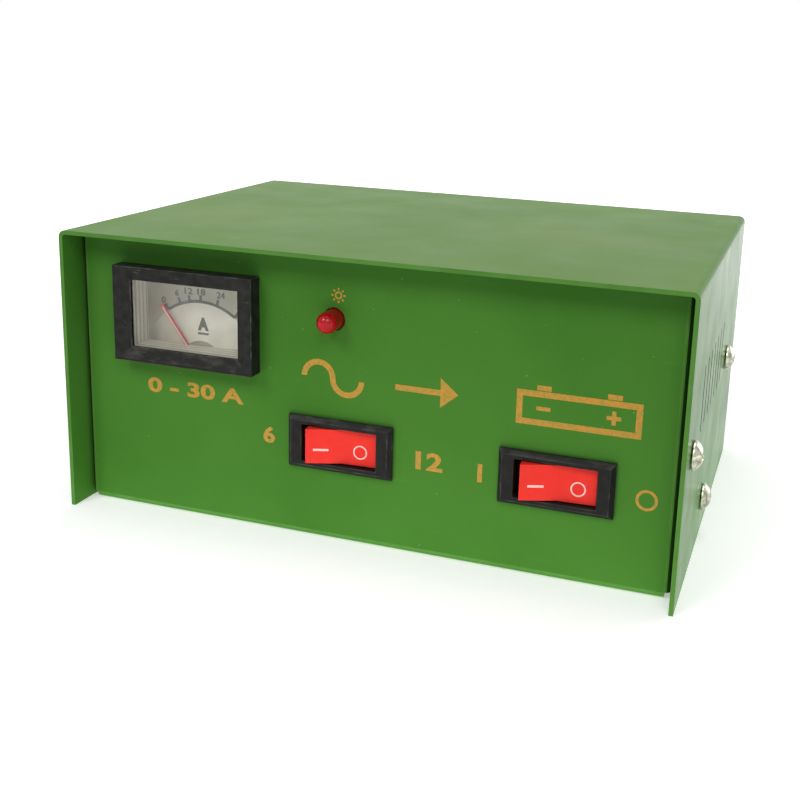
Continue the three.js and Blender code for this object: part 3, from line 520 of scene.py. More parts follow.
@dataclass(frozen=True)
class Insulation(Finish):
    """The plastic skin of a lead, a little wavy and handled."""

    colour: Colour = rgb(180, 30, 30)
    handled: Colour = rgb(120, 30, 28)

    def shade(self, graph: Graph) -> None:
        """Lays the skin.

        Args:
            graph: The material's tree.
        """
        handled = graph.patches(5 * MM, 4, 0.4, 0.7, 0.0, 0.6)
        graph.principled(
            Base_Color=graph.mix(handled, self.colour, self.handled),
            Roughness=graph.spread(handled, 0.0, 0.6, 0.3, 0.45),
            Normal=graph.bump(graph.noise(1.6 * MM, 2), 0.03 * MM),
        )


@dataclass(frozen=True)
class Ink(Finish):
    """Screen-printed ink that covers unevenly, so that what is under it shows through in places.

    Attributes:
        starved: Its colour where it lies thin.
        cover: How thin it lies where it covers best and worst, from 0 to 1.
    """

    colour: Colour = rgb(200, 140, 40)
    starved: Colour = rgb(120, 130, 50)
    cover: tuple[float, float] = (0.0, 0.6)
    roughness: float = 0.45

    def shade(self, graph: Graph) -> None:
        """Lays the ink.

        Args:
            graph: The material's tree.
        """
        blotch = graph.spread(graph.noise(0.9 * MM, 4, rough=0.6), 0.38, 0.66, *self.cover)
        graph.principled(
            Base_Color=graph.mix(blotch, self.colour, self.starved),
            Roughness=graph.spread(blotch, 0.0, 1.0, self.roughness, self.roughness + 0.15),
            Normal=graph.bump(graph.noise(0.3 * MM, 3), 0.008 * MM),
        )


@dataclass(frozen=True)
class DialPlate(Finish):
    """A brushed silver scale plate, whiter inside the scale's arc, with a painted shadow that deepens towards
    the left and cloudy darker patches.

    Attributes:
        centre: The middle of the arc.
        arc: The arc's radius.
        blend: How far the white reaches out to the silver.
        shade_span: Where the painted shadow is full and where it ends, from the centre along X.
    """

    centre: tuple[float, float, float] = (0, 0, 0)
    arc: float = 18.6 * MM
    silver: Colour = rgb(178, 174, 155)
    inner: Colour = rgb(236, 232, 218)
    # the colour of the painted shadow on the left and of the cloudy darker patches
    shade_and_tarnish: Colour = rgb(136, 124, 100)
    blend: float = 0.4 * MM
    shade_span: tuple[float, float] = (-18 * MM, -2 * MM)

    def shade(self, graph: Graph) -> None:
        """Lays the plate.

        Args:
            graph: The material's tree.
        """
        here = graph.about(Vector(self.centre))
        flat = graph.node("ShaderNodeVectorMath", {0: here, 1: (1, 0, 1)}, operation="MULTIPLY").outputs[0]
        far = graph.node("ShaderNodeVectorMath", {0: flat}, operation="LENGTH").outputs["Value"]
        inside = graph.spread(far, self.arc - self.blend, self.arc, 1.0, 0.0)
        across = graph.node("ShaderNodeSeparateXYZ", {0: here}).outputs["X"]
        cloud = graph.patches(6 * MM, 4, 0.35, 0.7, 0.0, 0.25)
        # painted shadow that deepens towards the left, plus cloudy darker patches
        shade_and_cloud = graph.sum("ADD", graph.spread(across, *self.shade_span, 0.9, 0.0), cloud)
        graph.principled(
            Base_Color=graph.mix(shade_and_cloud, graph.mix(inside, self.silver, self.inner), self.shade_and_tarnish),
            Roughness=graph.spread(cloud, 0.0, 0.25, 0.42, 0.55),
            Normal=graph.bump(graph.noise(0.1 * MM, 2, (14, 1, 1)), 0.004 * MM),
        )


@dataclass(frozen=True)
class Lens(Finish):
    """Clear dyed resin: glossy and bright at the middle, and painted deep red towards the rim as it turns
    from view, a painted shade.
    """

    colour: Colour = rgb(188, 4, 20)
    core: Colour = rgb(214, 16, 34)
    # the painted shade towards the rim
    deep: Colour = rgb(116, 0, 10)
    clearness: float = 0.2

    def shade(self, graph: Graph) -> None:
        """Lays the resin.

        Args:
            graph: The material's tree.
        """
        flow = graph.noise(1.4 * MM, 3)
        resin = graph.mix(graph.spread(flow, 0.35, 0.65), self.colour, self.core)
        graph.principled(
            # painted shade: darker towards the rim, by viewing angle
            Base_Color=graph.mix(graph.spread(graph.facing(), 0.3, 0.95), resin, self.deep),
            Roughness=graph.spread(flow, 0.3, 0.7, 0.04, 0.08),
            Transmission_Weight=self.clearness,
            IOR=1.5,
            Specular_IOR_Level=0.14,
            Coat_Weight=0.04,
            Coat_Roughness=0.04,
            Normal=graph.bump(flow, 0.01 * MM),
        )


@dataclass(frozen=True)
class ClearPane(Finish):
    """A thin clear pane: see-through, with a surface gloss that grows towards grazing and faint smears.

    Attributes:
        haze: How strongly the smears reflect.
        gloss: How strongly it reflects straight on.
        most: The most that it reflects.
    """

    haze: float = 0.03
    gloss: float = 0.035
    most: float = 0.9

    def shade(self, graph: Graph) -> None:
        """Lays the pane.

        Args:
            graph: The material's tree.
        """
        smear = graph.noise(5 * MM, 5, (1, 1, 3))
        through = graph.node("ShaderNodeBsdfTransparent", {"Color": (0.97, 0.975, 0.965, 1.0)})
        roughness = graph.spread(smear, 0.3, 0.7, 0.04, 0.14)
        skin = {"Color": rgb(250, 252, 248), "Roughness": roughness, "Normal": graph.bump(smear, 0.01 * MM)}
        sheen = graph.node("ShaderNodeBsdfGlossy", skin)
        grazing = graph.product(graph.sum("POWER", graph.facing(), 5.0), 0.96)
        smeared = graph.spread(smear, 0.4, 0.75, 0.0, self.haze)
        share = graph.sum("ADD", graph.sum("ADD", grazing, self.gloss), smeared)
        both = {0: graph.sum("MINIMUM", share, self.most), 1: through.outputs[0], 2: sheen.outputs[0]}
        graph.show(graph.node("ShaderNodeMixShader", both))


GREEN_PAINT = Paint("green_paint", "green_paint")
BLACK_PLASTIC = Moulding("black_plastic", "black_plastic")
FRAME_PLASTIC = Moulding("frame_plastic", "black_plastic", rgb(24, 24, 23), rgb(120, 118, 110), scuffs=0.6)
PIVOT_PLASTIC = Moulding("pivot_plastic", "grey_plastic", rgb(150, 142, 126), rgb(176, 168, 150), 0.5)
BOBBIN_PLASTIC = Moulding("bobbin_plastic", "bobbin_plastic", rgb(196, 190, 172), rgb(226, 222, 208), 0.5)
RED_PLASTIC = Moulding(
    "red_plastic", "red_plastic", rgb(240, 50, 40), rgb(248, 104, 92), roughness=0.34, grain=0.2 * MM,
    grain_depth=0.004 * MM, scuffs=0.15,
)
ZINC = Metal("zinc_steel", "zinc_steel", rgb(200, 202, 180), rgb(96, 98, 76), 0.14, patch=1.3 * MM)
BRASS = Metal("brass", "brass", rgb(205, 170, 96), rgb(150, 118, 66), 0.28)
ALUMINIUM = Metal("aluminium", "aluminium", rgb(196, 197, 198), rgb(160, 160, 160), 0.34, (1, 1, 40))
CLAMP_STEEL = Metal("clamp_steel", "zinc_steel", rgb(176, 172, 156), rgb(132, 124, 104), 0.32, (1, 30, 1))
LAMINATIONS = Layers("lamination_steel", "lamination_steel")
SKIRT_PLASTIC = Layers(
    "skirt_plastic", "grey_plastic", rgb(204, 200, 184), rgb(158, 154, 140), rgb(180, 172, 152), Axis.Y,
    pitch=1.9 * MM, depth=0.04 * MM, roughness=0.4, metallic=0.0, waver=0.3,
)
COPPER = Layers(
    "copper_wire", "copper_wire", rgb(176, 92, 48), rgb(80, 36, 20), rgb(130, 66, 34), Axis.Z,
    pitch=0.7 * MM, depth=0.16 * MM, roughness=0.3, metallic=0.9, waver=0.15,
)
TAPE = Layers(
    "winding_tape", "winding_tape", rgb(206, 176, 66), rgb(168, 138, 44), rgb(160, 120, 50), Axis.Z,
    pitch=9 * MM, depth=0.06 * MM, roughness=0.35, metallic=0.0, waver=0.5,
)
RUBBER = Rubber("black_rubber", "black_rubber")
RED_LEAD = Insulation("red_lead", "red_lead")
BLACK_LEAD = Insulation("black_lead", "black_lead", rgb(34, 34, 34), rgb(60, 58, 55))
BLUE_LEAD = Insulation("blue_lead", "blue_lead", rgb(36, 70, 150), rgb(32, 52, 100))
AMBER_INK = Ink("amber_ink", "green_paint", rgb(200, 136, 28), rgb(136, 134, 44), (0.0, 0.85))
DIAL_INK = Ink("dial_ink", "dial_silver", rgb(44, 44, 41), rgb(80, 78, 72), (0.0, 0.4), 0.5)
MARK_INK = Ink("mark_ink", "red_plastic", rgb(250, 206, 200), rgb(246, 160, 150), (0.0, 0.6), 0.4)
POINTER_RED = Ink("pointer_red", "pointer_red", rgb(206, 52, 50), rgb(170, 40, 40), (0.0, 0.5), 0.35)
# the pale strip along the pointer's ridge, a painted highlight
POINTER_HIGHLIGHT = Ink("pointer_highlight", "pointer_red", rgb(250, 214, 208), rgb(238, 176, 168), (0.0, 0.5), 0.35)
LAMP_RED = Lens("lamp_red", "lamp_red")
CLEAR = ClearPane("clear_window", "clear_window")
GLASS = ClearPane("fuse_glass", "clear_window", haze=0.12)


# ---- Tools ---------------------------------------------------------------------------------------------


def lathe(points: Iterable[tuple[float, float]], steps: int = 40) -> Shape:
    """Spins a profile about the Z axis.

    Args:
        points: The profile, each point its radius and its height; it starts and ends on the axis.
        steps: The number of sides.

    Returns:
        The closed shape.
    """
    shape = bmesh.new()
    verts = [shape.verts.new((radius, 0, height)) for radius, height in points]
    edges = [shape.edges.new(pair) for pair in zip(verts, verts[1:])]
    bmesh.ops.spin(
        shape, geom=verts + edges, axis=Axis.Z.value, cent=(0, 0, 0), angle=FULL_TURN, steps=steps,
        use_merge=True,
    )
    bmesh.ops.remove_doubles(shape, verts=shape.verts, dist=WELD)
    bmesh.ops.recalc_face_normals(shape, faces=shape.faces)
    return shape


def rounded(radius: float, turn: tuple[float, float], centre: tuple[float, float], steps: int = 8) -> list:
    """Gives the points of an arc of a profile.

    Args:
        radius: The arc's radius.
        turn: Where it starts and ends, in degrees from the direction of the radius.
        centre: The arc's centre.
        steps: The number of stretches.

    Returns:
        The points in order.
    """
    angles = [math.radians(turn[0] + (turn[1] - turn[0]) * i / steps) for i in range(steps + 1)]
    return [(centre[0] + radius * math.cos(a), centre[1] + radius * math.sin(a)) for a in angles]


def slab(size: Sequence[float], centre: Sequence[float] = (0, 0, 0), edge: float = 0.0) -> Shape:
    """Makes a block with rounded edges.

    Args:
        size: Its length along each axis.
        centre: Its middle.
        edge: The radius of its edges.

    Returns:
        The block.
    """
    shape = bmesh.new()
    bmesh.ops.create_cube(shape, size=1.0)
    bmesh.ops.scale(shape, vec=size, verts=shape.verts)
    bmesh.ops.translate(shape, vec=centre, verts=shape.verts)
    if edge:
        soften(shape, shape.edges[:], edge)
    return shape


def soften(shape: Shape, edges: list, width: float, segments: int = 2) -> None:
    """Rounds edges, and marks the new faces as edges for the finishes.

    Args:
        shape: The shape.
        edges: The edges to round.
        width: How far the rounding reaches.
        segments: The number of faces across it.
    """
    layer = shape.faces.layers.float.get(EDGE_NAME) or shape.faces.layers.float.new(EDGE_NAME)
    made = bmesh.ops.bevel(
        shape, geom=edges, offset=width, offset_type="OFFSET", segments=segments, profile=0.5, affect="EDGES",
        clamp_overlap=True, material=-1,
    )
    for face in made["faces"]:
        face[layer] = WORN if is_strip(face, width) else 0.0


def is_strip(face: bmesh.types.BMFace, width: float) -> bool:
    """Tells whether a face is a strip no wider than a width."""
    return face.calc_area() < 0.5 * width * face.calc_perimeter()


def keep_inside(shape: Shape, node: str) -> None:
    """Holds every corner of a shape inside its node's box.

    Args:
        shape: The shape.
        node: The node.
    """
    low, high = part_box(node)
    for corner in shape.verts:
        corner.co = [min(max(value, low[i]), high[i]) for i, value in enumerate(corner.co)]


def sharp_edges(shape: Shape, least: float = SHARP) -> list:
    """Finds the edges whose faces meet at more than an angle, in degrees."""
    joined = [edge for edge in shape.edges if len(edge.link_faces) == 2]
    return [edge for edge in joined if edge.calc_face_angle(0.0) > math.radians(least)]


def band(inner: float, outer: float, thickness: float, turn: tuple[float, float], steps: int) -> Shape:
    """Makes a flat ring, or a part of one, that lies on the XY plane and rises along Z.

    Args:
        inner: The inner radius.
        outer: The outer radius.
        thickness: Its thickness.
        turn: Where it starts and ends, in degrees from +X; a full turn closes it.
        steps: The number of stretches.

    Returns:
        The ring.
    """
    shape = bmesh.new()
    corners = ((inner, 0), (outer, 0), (outer, thickness), (inner, thickness))
    face = shape.faces.new([shape.verts.new((radius, 0, height)) for radius, height in corners])
    angle = math.radians(turn[1] - turn[0])
    whole = abs(angle) > FULL_TURN - 0.001
    parts = face.verts[:] + face.edges[:] + ([] if whole else [face])
    bmesh.ops.spin(
        shape, geom=parts, axis=Axis.Z.value, cent=(0, 0, 0), angle=angle, steps=steps, use_merge=whole
    )
    if whole:
        bmesh.ops.delete(shape, geom=[face], context="FACES_ONLY")
    bmesh.ops.remove_doubles(shape, verts=shape.verts, dist=WELD)
    bmesh.ops.recalc_face_normals(shape, faces=shape.faces)
    bmesh.ops.rotate(shape, matrix=Matrix.Rotation(math.radians(turn[0]), 3, "Z"), verts=shape.verts)
    return shape


def merged(shapes: Iterable[Shape]) -> Shape:
    """Puts several shapes into one, and frees them.

    Args:
        shapes: The shapes.

    Returns:
        The one shape.
    """
    whole = bmesh.new()
    for shape in shapes:
        part = bpy.data.meshes.new("part")
        shape.to_mesh(part)
        shape.free()
        whole.from_mesh(part)
        bpy.data.meshes.remove(part)
    return whole


def facing(point: Vector, outwards: Vector, roll: float = 0.0) -> Matrix:
    """Places a flat shape on a surface: its +Z goes outwards and its +Y up.

    Args:
        point: Where its origin goes.
        outwards: The surface's direction, which isn't straight up.
        roll: A turn about that direction, in degrees.

    Returns:
        The transform.
    """
    across = Axis.Z.value.cross(outwards).normalized()
    up = outwards.cross(across)
    turned = Matrix((across, up, outwards)).transposed().to_4x4()
    return Matrix.Translation(point) @ turned @ Matrix.Rotation(math.radians(roll), 4, "Z")


def along(axis: Axis, point: Vector, reverse: bool = False) -> Matrix:
    """Places a shape so that its +Z goes along an axis, or against it where reverse is set."""
    way = axis.value * (-1 if reverse else 1)
    return Matrix.Translation(point) @ Axis.Z.value.rotation_difference(way).to_matrix().to_4x4()


class Bench:
    """Turns shapes into finished pieces that ride on the frame."""

    @staticmethod
    def piece(
        name: str,
        shape: Shape,
        finish: Finish,
        body: Body = Body.CASE,
        place: Matrix | None = None,
        stands_for: Sequence[str] = (),
        crease: float = CREASE,
    ) -> bpy.types.Object:
        """Makes a piece of a shape, which it frees.

        Args:
            name: The piece's name.
            shape: Its shape.
            finish: Its finish.
            body: The body that it rides on.
            place: Where the shape goes.
            stands_for: The nodes that it is shown in place of.
            crease: The angle past which an edge stays sharp, in degrees.

        Returns:
            The piece.
        """
        if place is not None:
            bmesh.ops.transform(shape, matrix=place, verts=shape.verts)
        mesh = bpy.data.meshes.new(name)
        shape.to_mesh(mesh)
        shape.free()
        mesh.polygons.foreach_set("use_smooth", [True] * len(mesh.polygons))
        mesh.set_sharp_from_angle(angle=math.radians(crease))
        mesh.materials.append(finish.material())
        made = bpy.data.objects.new(name, mesh)
        bpy.context.scene.collection.objects.link(made)
        normals = made.modifiers.new("even_normals", "WEIGHTED_NORMAL")
        normals.keep_sharp = True
        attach(made, body.value)
        if stands_for:
            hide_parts(*stands_for)
        LOG.info("%s: %d faces on %s", name, len(mesh.polygons), body.value)
        return made

    @staticmethod
    def copy_of(node: str) -> Shape:
        """Copies a node's shape, with its loose triangles joined into whole faces.

        Args:
            node: The node.

        Returns:
            The shape.
        """
        shape = bmesh.new()
        shape.from_mesh(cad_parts[node].data)
        bmesh.ops.remove_doubles(shape, verts=shape.verts, dist=4 * WELD)
        bmesh.ops.dissolve_limit(
            shape, angle_limit=math.radians(0.5), use_dissolve_boundaries=False, verts=shape.verts,
            edges=shape.edges,
        )
        return shape

    @classmethod
    def refined(
        cls, node: str, finish: Finish, edge: float, body: Body = Body.CASE, segments: int = 2,
        slopes: float = 0.0,
    ) -> bpy.types.Object:
        """Makes a piece of a node's own shape with its sharp edges rounded.

        Args:
            node: The node, which the piece is shown in place of.
            finish: The piece's finish.
            edge: How far the rounding of an edge reaches.
            body: The body that it rides on.
            segments: The number of faces across a rounding.
            slopes: How strongly the faces that look up and forwards are lightened, a painted highlight, from
                0 to 1.

        Returns:
            The piece.
        """
        shape = cls.copy_of(node)
        soften(shape, sharp_edges(shape), edge, segments)
        keep_inside(shape, node)
        layer = shape.faces.layers.float[EDGE_NAME]
        shape.normal_update()
        for face in shape.faces:
            if min(face.normal.z, -face.normal.y) > 0.25:  # it faces up and forwards: lightened as a painted highlight
                face[layer] = max(face[layer], slopes)
        return cls.piece("made_" + node, shape, finish, body, stands_for=[node])

    @staticmethod
    def carve(piece: bpy.types.Object, cutter: Shape) -> None:
        """Cuts a shape, which it frees, out of a piece.

        Args:
            piece: The piece.
            cutter: The shape.
        """
        mesh = bpy.data.meshes.new("cutter")
        cutter.to_mesh(mesh)
        cutter.free()
        tool = bpy.data.objects.new("cutter", mesh)
        bpy.context.scene.collection.objects.link(tool)
        cut = piece.modifiers.new("cut", "BOOLEAN")
        cut.operation = "DIFFERENCE"
        cut.solver = "EXACT"
        cut.object = tool
        piece.modifiers.move(len(piece.modifiers) - 1, 0)
        view = bpy.context.evaluated_depsgraph_get()
        after = bpy.data.meshes.new_from_object(piece.evaluated_get(view))
        piece.modifiers.remove(cut)
        before = piece.data
        after.name = before.name
        piece.data = after
        bpy.data.meshes.remove(before)
        bpy.data.objects.remove(tool)
        bpy.data.meshes.remove(mesh)
        after.set_sharp_from_angle(angle=math.radians(CREASE))

    @staticmethod
    def print_place(node: str, x: float, z: float) -> Matrix:
        """Places ink where a line that runs back along +Y meets a node first.

        Args:
            node: The node that is printed on.
            x: The line's X.
            z: The line's Z.

        Returns:
            The transform of a flat shape that then lies on the node's surface.
        """
        shape = bmesh.new()
        shape.from_mesh(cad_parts[node].data)
        point, outwards, _, _ = BVHTree.FromBMesh(shape).ray_cast(Vector((x, -1, z)), Axis.Y.value)
        shape.free()
        if point is None:
            raise ValueError(f"nothing of {node} lies behind x {x}, z {z}")
        return facing(point - outwards * SINK, outwards)


def lettering(text: str, width: float, height: float, thickness: float, weight: float) -> Shape:
    """Makes figures that lie on the XY plane about its origin.

    Args:
        text: The figures.
        width: How wide they are.
        height: How tall they are.
        thickness: How thick the ink lies.
        weight: How much each stroke is fattened, as a share of the height.

    Returns:
        The figures' shape.
    """
    curve = bpy.data.curves.new("figures", "FONT")
    curve.body = text
    curve.offset = weight
    curve.extrude = 0.5
    curve.resolution_u = 4
    letters = bpy.data.objects.new("figures", curve)
    bpy.context.scene.collection.objects.link(letters)
    view = bpy.context.evaluated_depsgraph_get()
    mesh = bpy.data.meshes.new_from_object(letters.evaluated_get(view))
    shape = bmesh.new()
    shape.from_mesh(mesh)
    bpy.data.objects.remove(letters)
    bpy.data.curves.remove(curve)
    bpy.data.meshes.remove(mesh)
    bmesh.ops.remove_doubles(shape, verts=shape.verts, dist=1e-5)
    bmesh.ops.recalc_face_normals(shape, faces=shape.faces)
    low = Vector([min(v.co[i] for v in shape.verts) for i in range(3)])
    high = Vector([max(v.co[i] for v in shape.verts) for i in range(3)])
    bmesh.ops.translate(shape, vec=-(low + high) / 2, verts=shape.verts)
    size = high - low
    bmesh.ops.scale(shape, vec=(width / size.x, height / size.y, thickness / size.z), verts=shape.verts)
    return shape


def middle(node: str) -> Vector:
    """Gives the middle of a node's box."""
    low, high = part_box(node)
    return (low + high) / 2


# ---- Sub-assemblies ------------------------------------------------------------------------------------


@dataclass(frozen=True)
class PanScrew:
    """A pan-head screw with a cross recess and a rolled thread.

    Attributes:
        node: The node that it stands for.
        axis: The line of its shank.
        reverse: Whether its head points against the axis.
        turn: How far the recess is turned, in degrees.
        head: The head's height.
        shank: The shank's radius.
        rim: How far the dome starts above the head's seat.
        chamfer: The bevel of the head's lower edge.
        pitch: The height of one turn of the thread.
        thread: The thread's depth.
        point: How much slimmer the shank ends.
        slot: The width of the recess's arms.
        slot_length: Their length.
        slot_depth: Their depth.
        slot_floor: The size of their floor, as a share of their mouth.
    """

    node: str
    axis: Axis
    reverse: bool
    turn: float
    head: float = 2.7 * MM
    shank: float = 1.9 * MM
    rim: float = 0.6 * MM
    chamfer: float = 0.15 * MM
    pitch: float = 0.7 * MM
    thread: float = 0.35 * MM
    point: float = 0.5 * MM
    slot: float = 1.0 * MM
    slot_length: float = 4.6 * MM
    slot_depth: float = 1.5 * MM
    slot_floor: tuple[float, float, float] = (0.3, 0.7, 1.0)

    def build(self) -> None:
        """Makes the screw, with its head outermost."""
        low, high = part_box(self.node)
        across = {Axis.X: 1, Axis.Y: 0, Axis.Z: 0}[self.axis]
        radius = (high - low)[across] / 2
        length = (high - low).dot(self.axis.value) - self.head
        dome = (radius**2 + (self.head - self.rim) ** 2) / (2 * (self.head - self.rim))
        open_angle = math.degrees(math.asin(radius / dome))
        profile = rounded(dome, (90, 90 - open_angle), (0, self.head - dome), 9)
        profile += [(radius, self.chamfer), (radius - self.chamfer, 0), (self.shank, 0)]
        for i in range(int(length / self.pitch)):
            root, crest = -(i + 0.5) * self.pitch, -(i + 1) * self.pitch
            profile += [(self.shank - self.thread, root), (self.shank, crest)]
        profile += [(self.shank - self.point, -length), (0, -length)]
        end = (low + high) / 2
        reach = (high - low).dot(self.axis.value) / 2 - self.head
        place = along(self.axis, end + self.axis.value * reach * (-1 if self.reverse else 1), self.reverse)
        screw = Bench.piece("made_" + self.node, lathe(profile, 32), ZINC, stands_for=[self.node])
        for quarter in (0, 90):
            arm = slab((self.slot_length, self.slot, 2 * self.slot_depth))
            low_verts = [v for v in arm.verts if v.co.z < 0]
            bmesh.ops.scale(arm, vec=self.slot_floor, verts=low_verts)
            bmesh.ops.translate(arm, vec=(0, 0, self.head), verts=arm.verts)
            turn = Matrix.Rotation(math.radians(self.turn + quarter), 3, "Z")
            bmesh.ops.rotate(arm, matrix=turn, verts=arm.verts)
            Bench.carve(screw, arm)
        screw.data.transform(place)


@dataclass(frozen=True)
class Cabinet:
    """The folded cover and chassis, the screws that join them and the cable grommets.

    Attributes:
        fold: How far the rounding of a sheet's edges reaches.
        lip: How far the rounding of a grommet's edges reaches.
        thickness: The most that a cut face of a sheet is wide.
        cut_wear: How worn the paint is on the cut edges.
        corner_shade: How dark the panel's upright bends are painted, a painted shade.
        margin: How far the slits lie from a sheet's rims at the least.
        turns: How far the recess of each screw is turned, in degrees.
        left_turn: How much further it is turned on the left.
    """

    fold: float = 0.22 * MM
    lip: float = 0.5 * MM
    thickness: float = 1.3 * MM
    cut_wear: float = 0.35
    corner_shade: float = 0.8 * SHADED
    margin: float = 5.0 * MM
    turns: tuple[tuple[str, float], ...] = (("front", 20), ("low", 62), ("rear", -12))
    left_turn: float = 35

    def build(self) -> None:
        """Makes the cabinet's pieces."""
        self.sheet("cover")
        self.sheet("chassis")
        for side, reverse, extra in (("left", True, self.left_turn), ("right", False, 0)):
            for place, turn in self.turns:
                PanScrew(f"cover_screw_{side}_{place}", Axis.X, reverse, turn + extra).build()
        for node in ("mains_grommet", "leads_grommet"):
            Bench.refined(node, RUBBER, self.lip, segments=3)

    def sheet(self, node: str) -> None:
        """Makes a folded sheet: its cut edges wear thin, and its slits, their lips and the panel's upright
        bends get painted shade.

        Args:
            node: The sheet's node.
        """
        shape = Bench.copy_of(node)
        soften(shape, sharp_edges(shape), self.fold)
        keep_inside(shape, node)
        layer = shape.faces.layers.float[EDGE_NAME]
        low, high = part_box(node)
        for face in shape.faces:
            centre, way = face.calc_center_median(), face.normal
            rim_y, rim_z = (min(centre[i] - low[i], high[i] - centre[i]) for i in (1, 2))
            if is_strip(face, self.thickness) and abs(way.y) > 0.9:
                # cut faces at the rims wear thin; the cut walls of the slits get painted shade
                face[layer] = self.cut_wear if rim_y < self.fold else SHADED
            elif face[layer] > 0 and min(rim_y, rim_z) > self.margin:
                # the rounded lips of slits and holes, away from the rims, get painted shade
                face[layer] = SHADED
            elif node == "chassis" and way.y < -0.1 and 0.1 < abs(way.x) < 0.98:
                # the panel's upright bends get painted shade, deepest where they face most sideways
                face[layer] = self.corner_shade * min(1.0, 2 * abs(way.x))
        Bench.piece("made_" + node, shape, GREEN_PAINT, stands_for=[node])


@dataclass(frozen=True)
class PanelPrint:
    """The printing on the front panel: plain figures and plain signs in amber ink.

    Attributes:
        ink: How thick the ink lies.
        stroke: The width of the signs' strokes.
        fine: The width of the finest strokes.
        weight: How much the figures' strokes are fattened, as a share of their height.
        row: The height of the row of signs.
        figures: Each set of figures: its name, its text, its middle's X and Z, its width and its height.
    """

    ink: float = 0.05 * MM
    stroke: float = 1.65 * MM
    fine: float = 0.5 * MM
    weight: float = 0.035
    row: float = 48.1 * MM
    figures: tuple[tuple[str, str, float, float, float, float], ...] = (
        ("print_scale_range", "0 - 30 A", -51.4 * MM, 38.9 * MM, 31.5 * MM, 4.6 * MM),
        ("print_six", "6", -27.6 * MM, 28.9 * MM, 3.7 * MM, 5.0 * MM),
        ("print_twelve", "12", 20.8 * MM, 28.1 * MM, 7.8 * MM, 5.3 * MM),
    )

    def build(self) -> None:
        """Prints the figures and the signs."""
        for name, text, x, z, width, height in self.figures:
            shape = lettering(text, width, height, self.ink, self.weight)
            bmesh.ops.translate(shape, vec=(0, 0, self.ink / 2), verts=shape.verts)
            self.sign(name, shape, x, z)
        self.sign("print_alternating", self.wave(radius=4.3 * MM), x=-8 * MM, z=self.row)
        arrow = self.arrow(length=18 * MM, head=4.2 * MM)
        self.sign("print_arrow", arrow, x=19.5 * MM, z=self.row)
        battery = self.battery(width=33 * MM, height=9.4 * MM, pole=3.8 * MM, thin=1.1 * MM)
        self.sign("print_battery", battery, x=61 * MM, z=self.row - 0.6 * MM)
        rays = self.rays(inner=1.1 * MM, outer=1.75 * MM)
        self.sign("print_lamp", rays, x=middle("lamp_lens").x + 1.3 * MM, z=71.8 * MM)
        self.sign("print_on", self.bar(0.8 * self.stroke, 5.2 * MM), x=35.3 * MM, z=27.1 * MM)
        ring = band(2.1 * MM, 2.9 * MM, self.ink, (0, 360), 36)
        self.sign("print_off", ring, x=80.1 * MM, z=26.7 * MM)

    def bar(self, width: float, height: float, x: float = 0.0, y: float = 0.0) -> Shape:
        """Makes one straight stroke about a point of the XY plane."""
        return slab((width, height, self.ink), (x, y, self.ink / 2))

    def wave(self, radius: float) -> Shape:
        """Makes the wave of alternating current from two arcs.

        Args:
            radius: The arcs' radius.

        Returns:
            The sign's shape.
        """
        half = self.stroke / 2
        crest = band(radius - half, radius + half, self.ink, (0, 180), 20)
        bmesh.ops.translate(crest, vec=(-radius, 0, 0), verts=crest.verts)
        trough = band(radius - half, radius + half, self.ink, (180, 360), 20)
        bmesh.ops.translate(trough, vec=(radius, 0, 0), verts=trough.verts)
        return merged([crest, trough])

    def arrow(self, length: float, head: float) -> Shape:
        """Makes an arrow to the right, whose head is a little longer than it is half wide.

        Args:
            length: The arrow's length.
            head: Half the width of its head.

        Returns:
            The sign's shape.
        """
        half, neck = self.stroke / 2, length / 2 - head * 1.2
        upper = [(neck, half), (neck, head), (length / 2, 0)]
        outline = [(-length / 2, half), *upper, (neck, -head), (neck, -half), (-length / 2, -half)]
        shape = bmesh.new()
        face = shape.faces.new([shape.verts.new((x, y, 0)) for x, y in outline])
        lifted = bmesh.ops.extrude_face_region(shape, geom=[face], use_keep_orig=True)["geom"]
        top = [v for v in lifted if isinstance(v, bmesh.types.BMVert)]
        bmesh.ops.translate(shape, vec=(0, 0, self.ink), verts=top)
        bmesh.ops.recalc_face_normals(shape, faces=shape.faces)
        return shape

    def battery(self, width: float, height: float, pole: float, thin: float) -> Shape:
        """Makes a battery's outline with its two posts and the signs of its poles.

        Args:
            width: The outline's width.
            height: Its height.
            pole: The length of the poles' signs and of the posts.
            thin: The stroke of the poles' signs.

        Returns:
            The sign's shape.
        """
        half_w, half_h, out = width / 2, height / 2, width * 0.28
        tall, arm = height - 2 * self.stroke, (pole - thin) / 2
        post, post_y = 1.4 * MM, half_h + 0.9 * MM
        strokes = [self.bar(thin, pole, out)]
        for side in (-1, 1):
            strokes.append(self.bar(width, self.stroke, 0, side * (half_h - self.stroke / 2)))
            strokes.append(self.bar(self.stroke, tall, side * (half_w - self.stroke / 2)))
            strokes.append(self.bar(pole, post, side * out, post_y))
            strokes.append(self.bar(arm, thin, out + side * (thin + arm) / 2))
        strokes.append(self.bar(pole, thin, -out))
        return merged(strokes)

    def rays(self, inner: float, outer: float, count: int = 8, gap: float = 0.35 * MM) -> Shape:
        """Makes the sign of a lamp: a ring with short rays round it.

        Args:
            inner: The ring's outer radius.
            outer: The same and the length of a ray.
            count: The number of rays.
            gap: How far the rays stand off the ring.

        Returns:
            The sign's shape.
        """
        strokes = [band(inner - 0.9 * self.fine, inner, self.ink, (0, 360), 24)]
        for i in range(count):
            ray = self.bar(self.fine, outer - inner, 0, (outer + inner) / 2 + gap)
            bmesh.ops.rotate(ray, matrix=Matrix.Rotation(FULL_TURN * i / count, 3, "Z"), verts=ray.verts)
            strokes.append(ray)
        return merged(strokes)

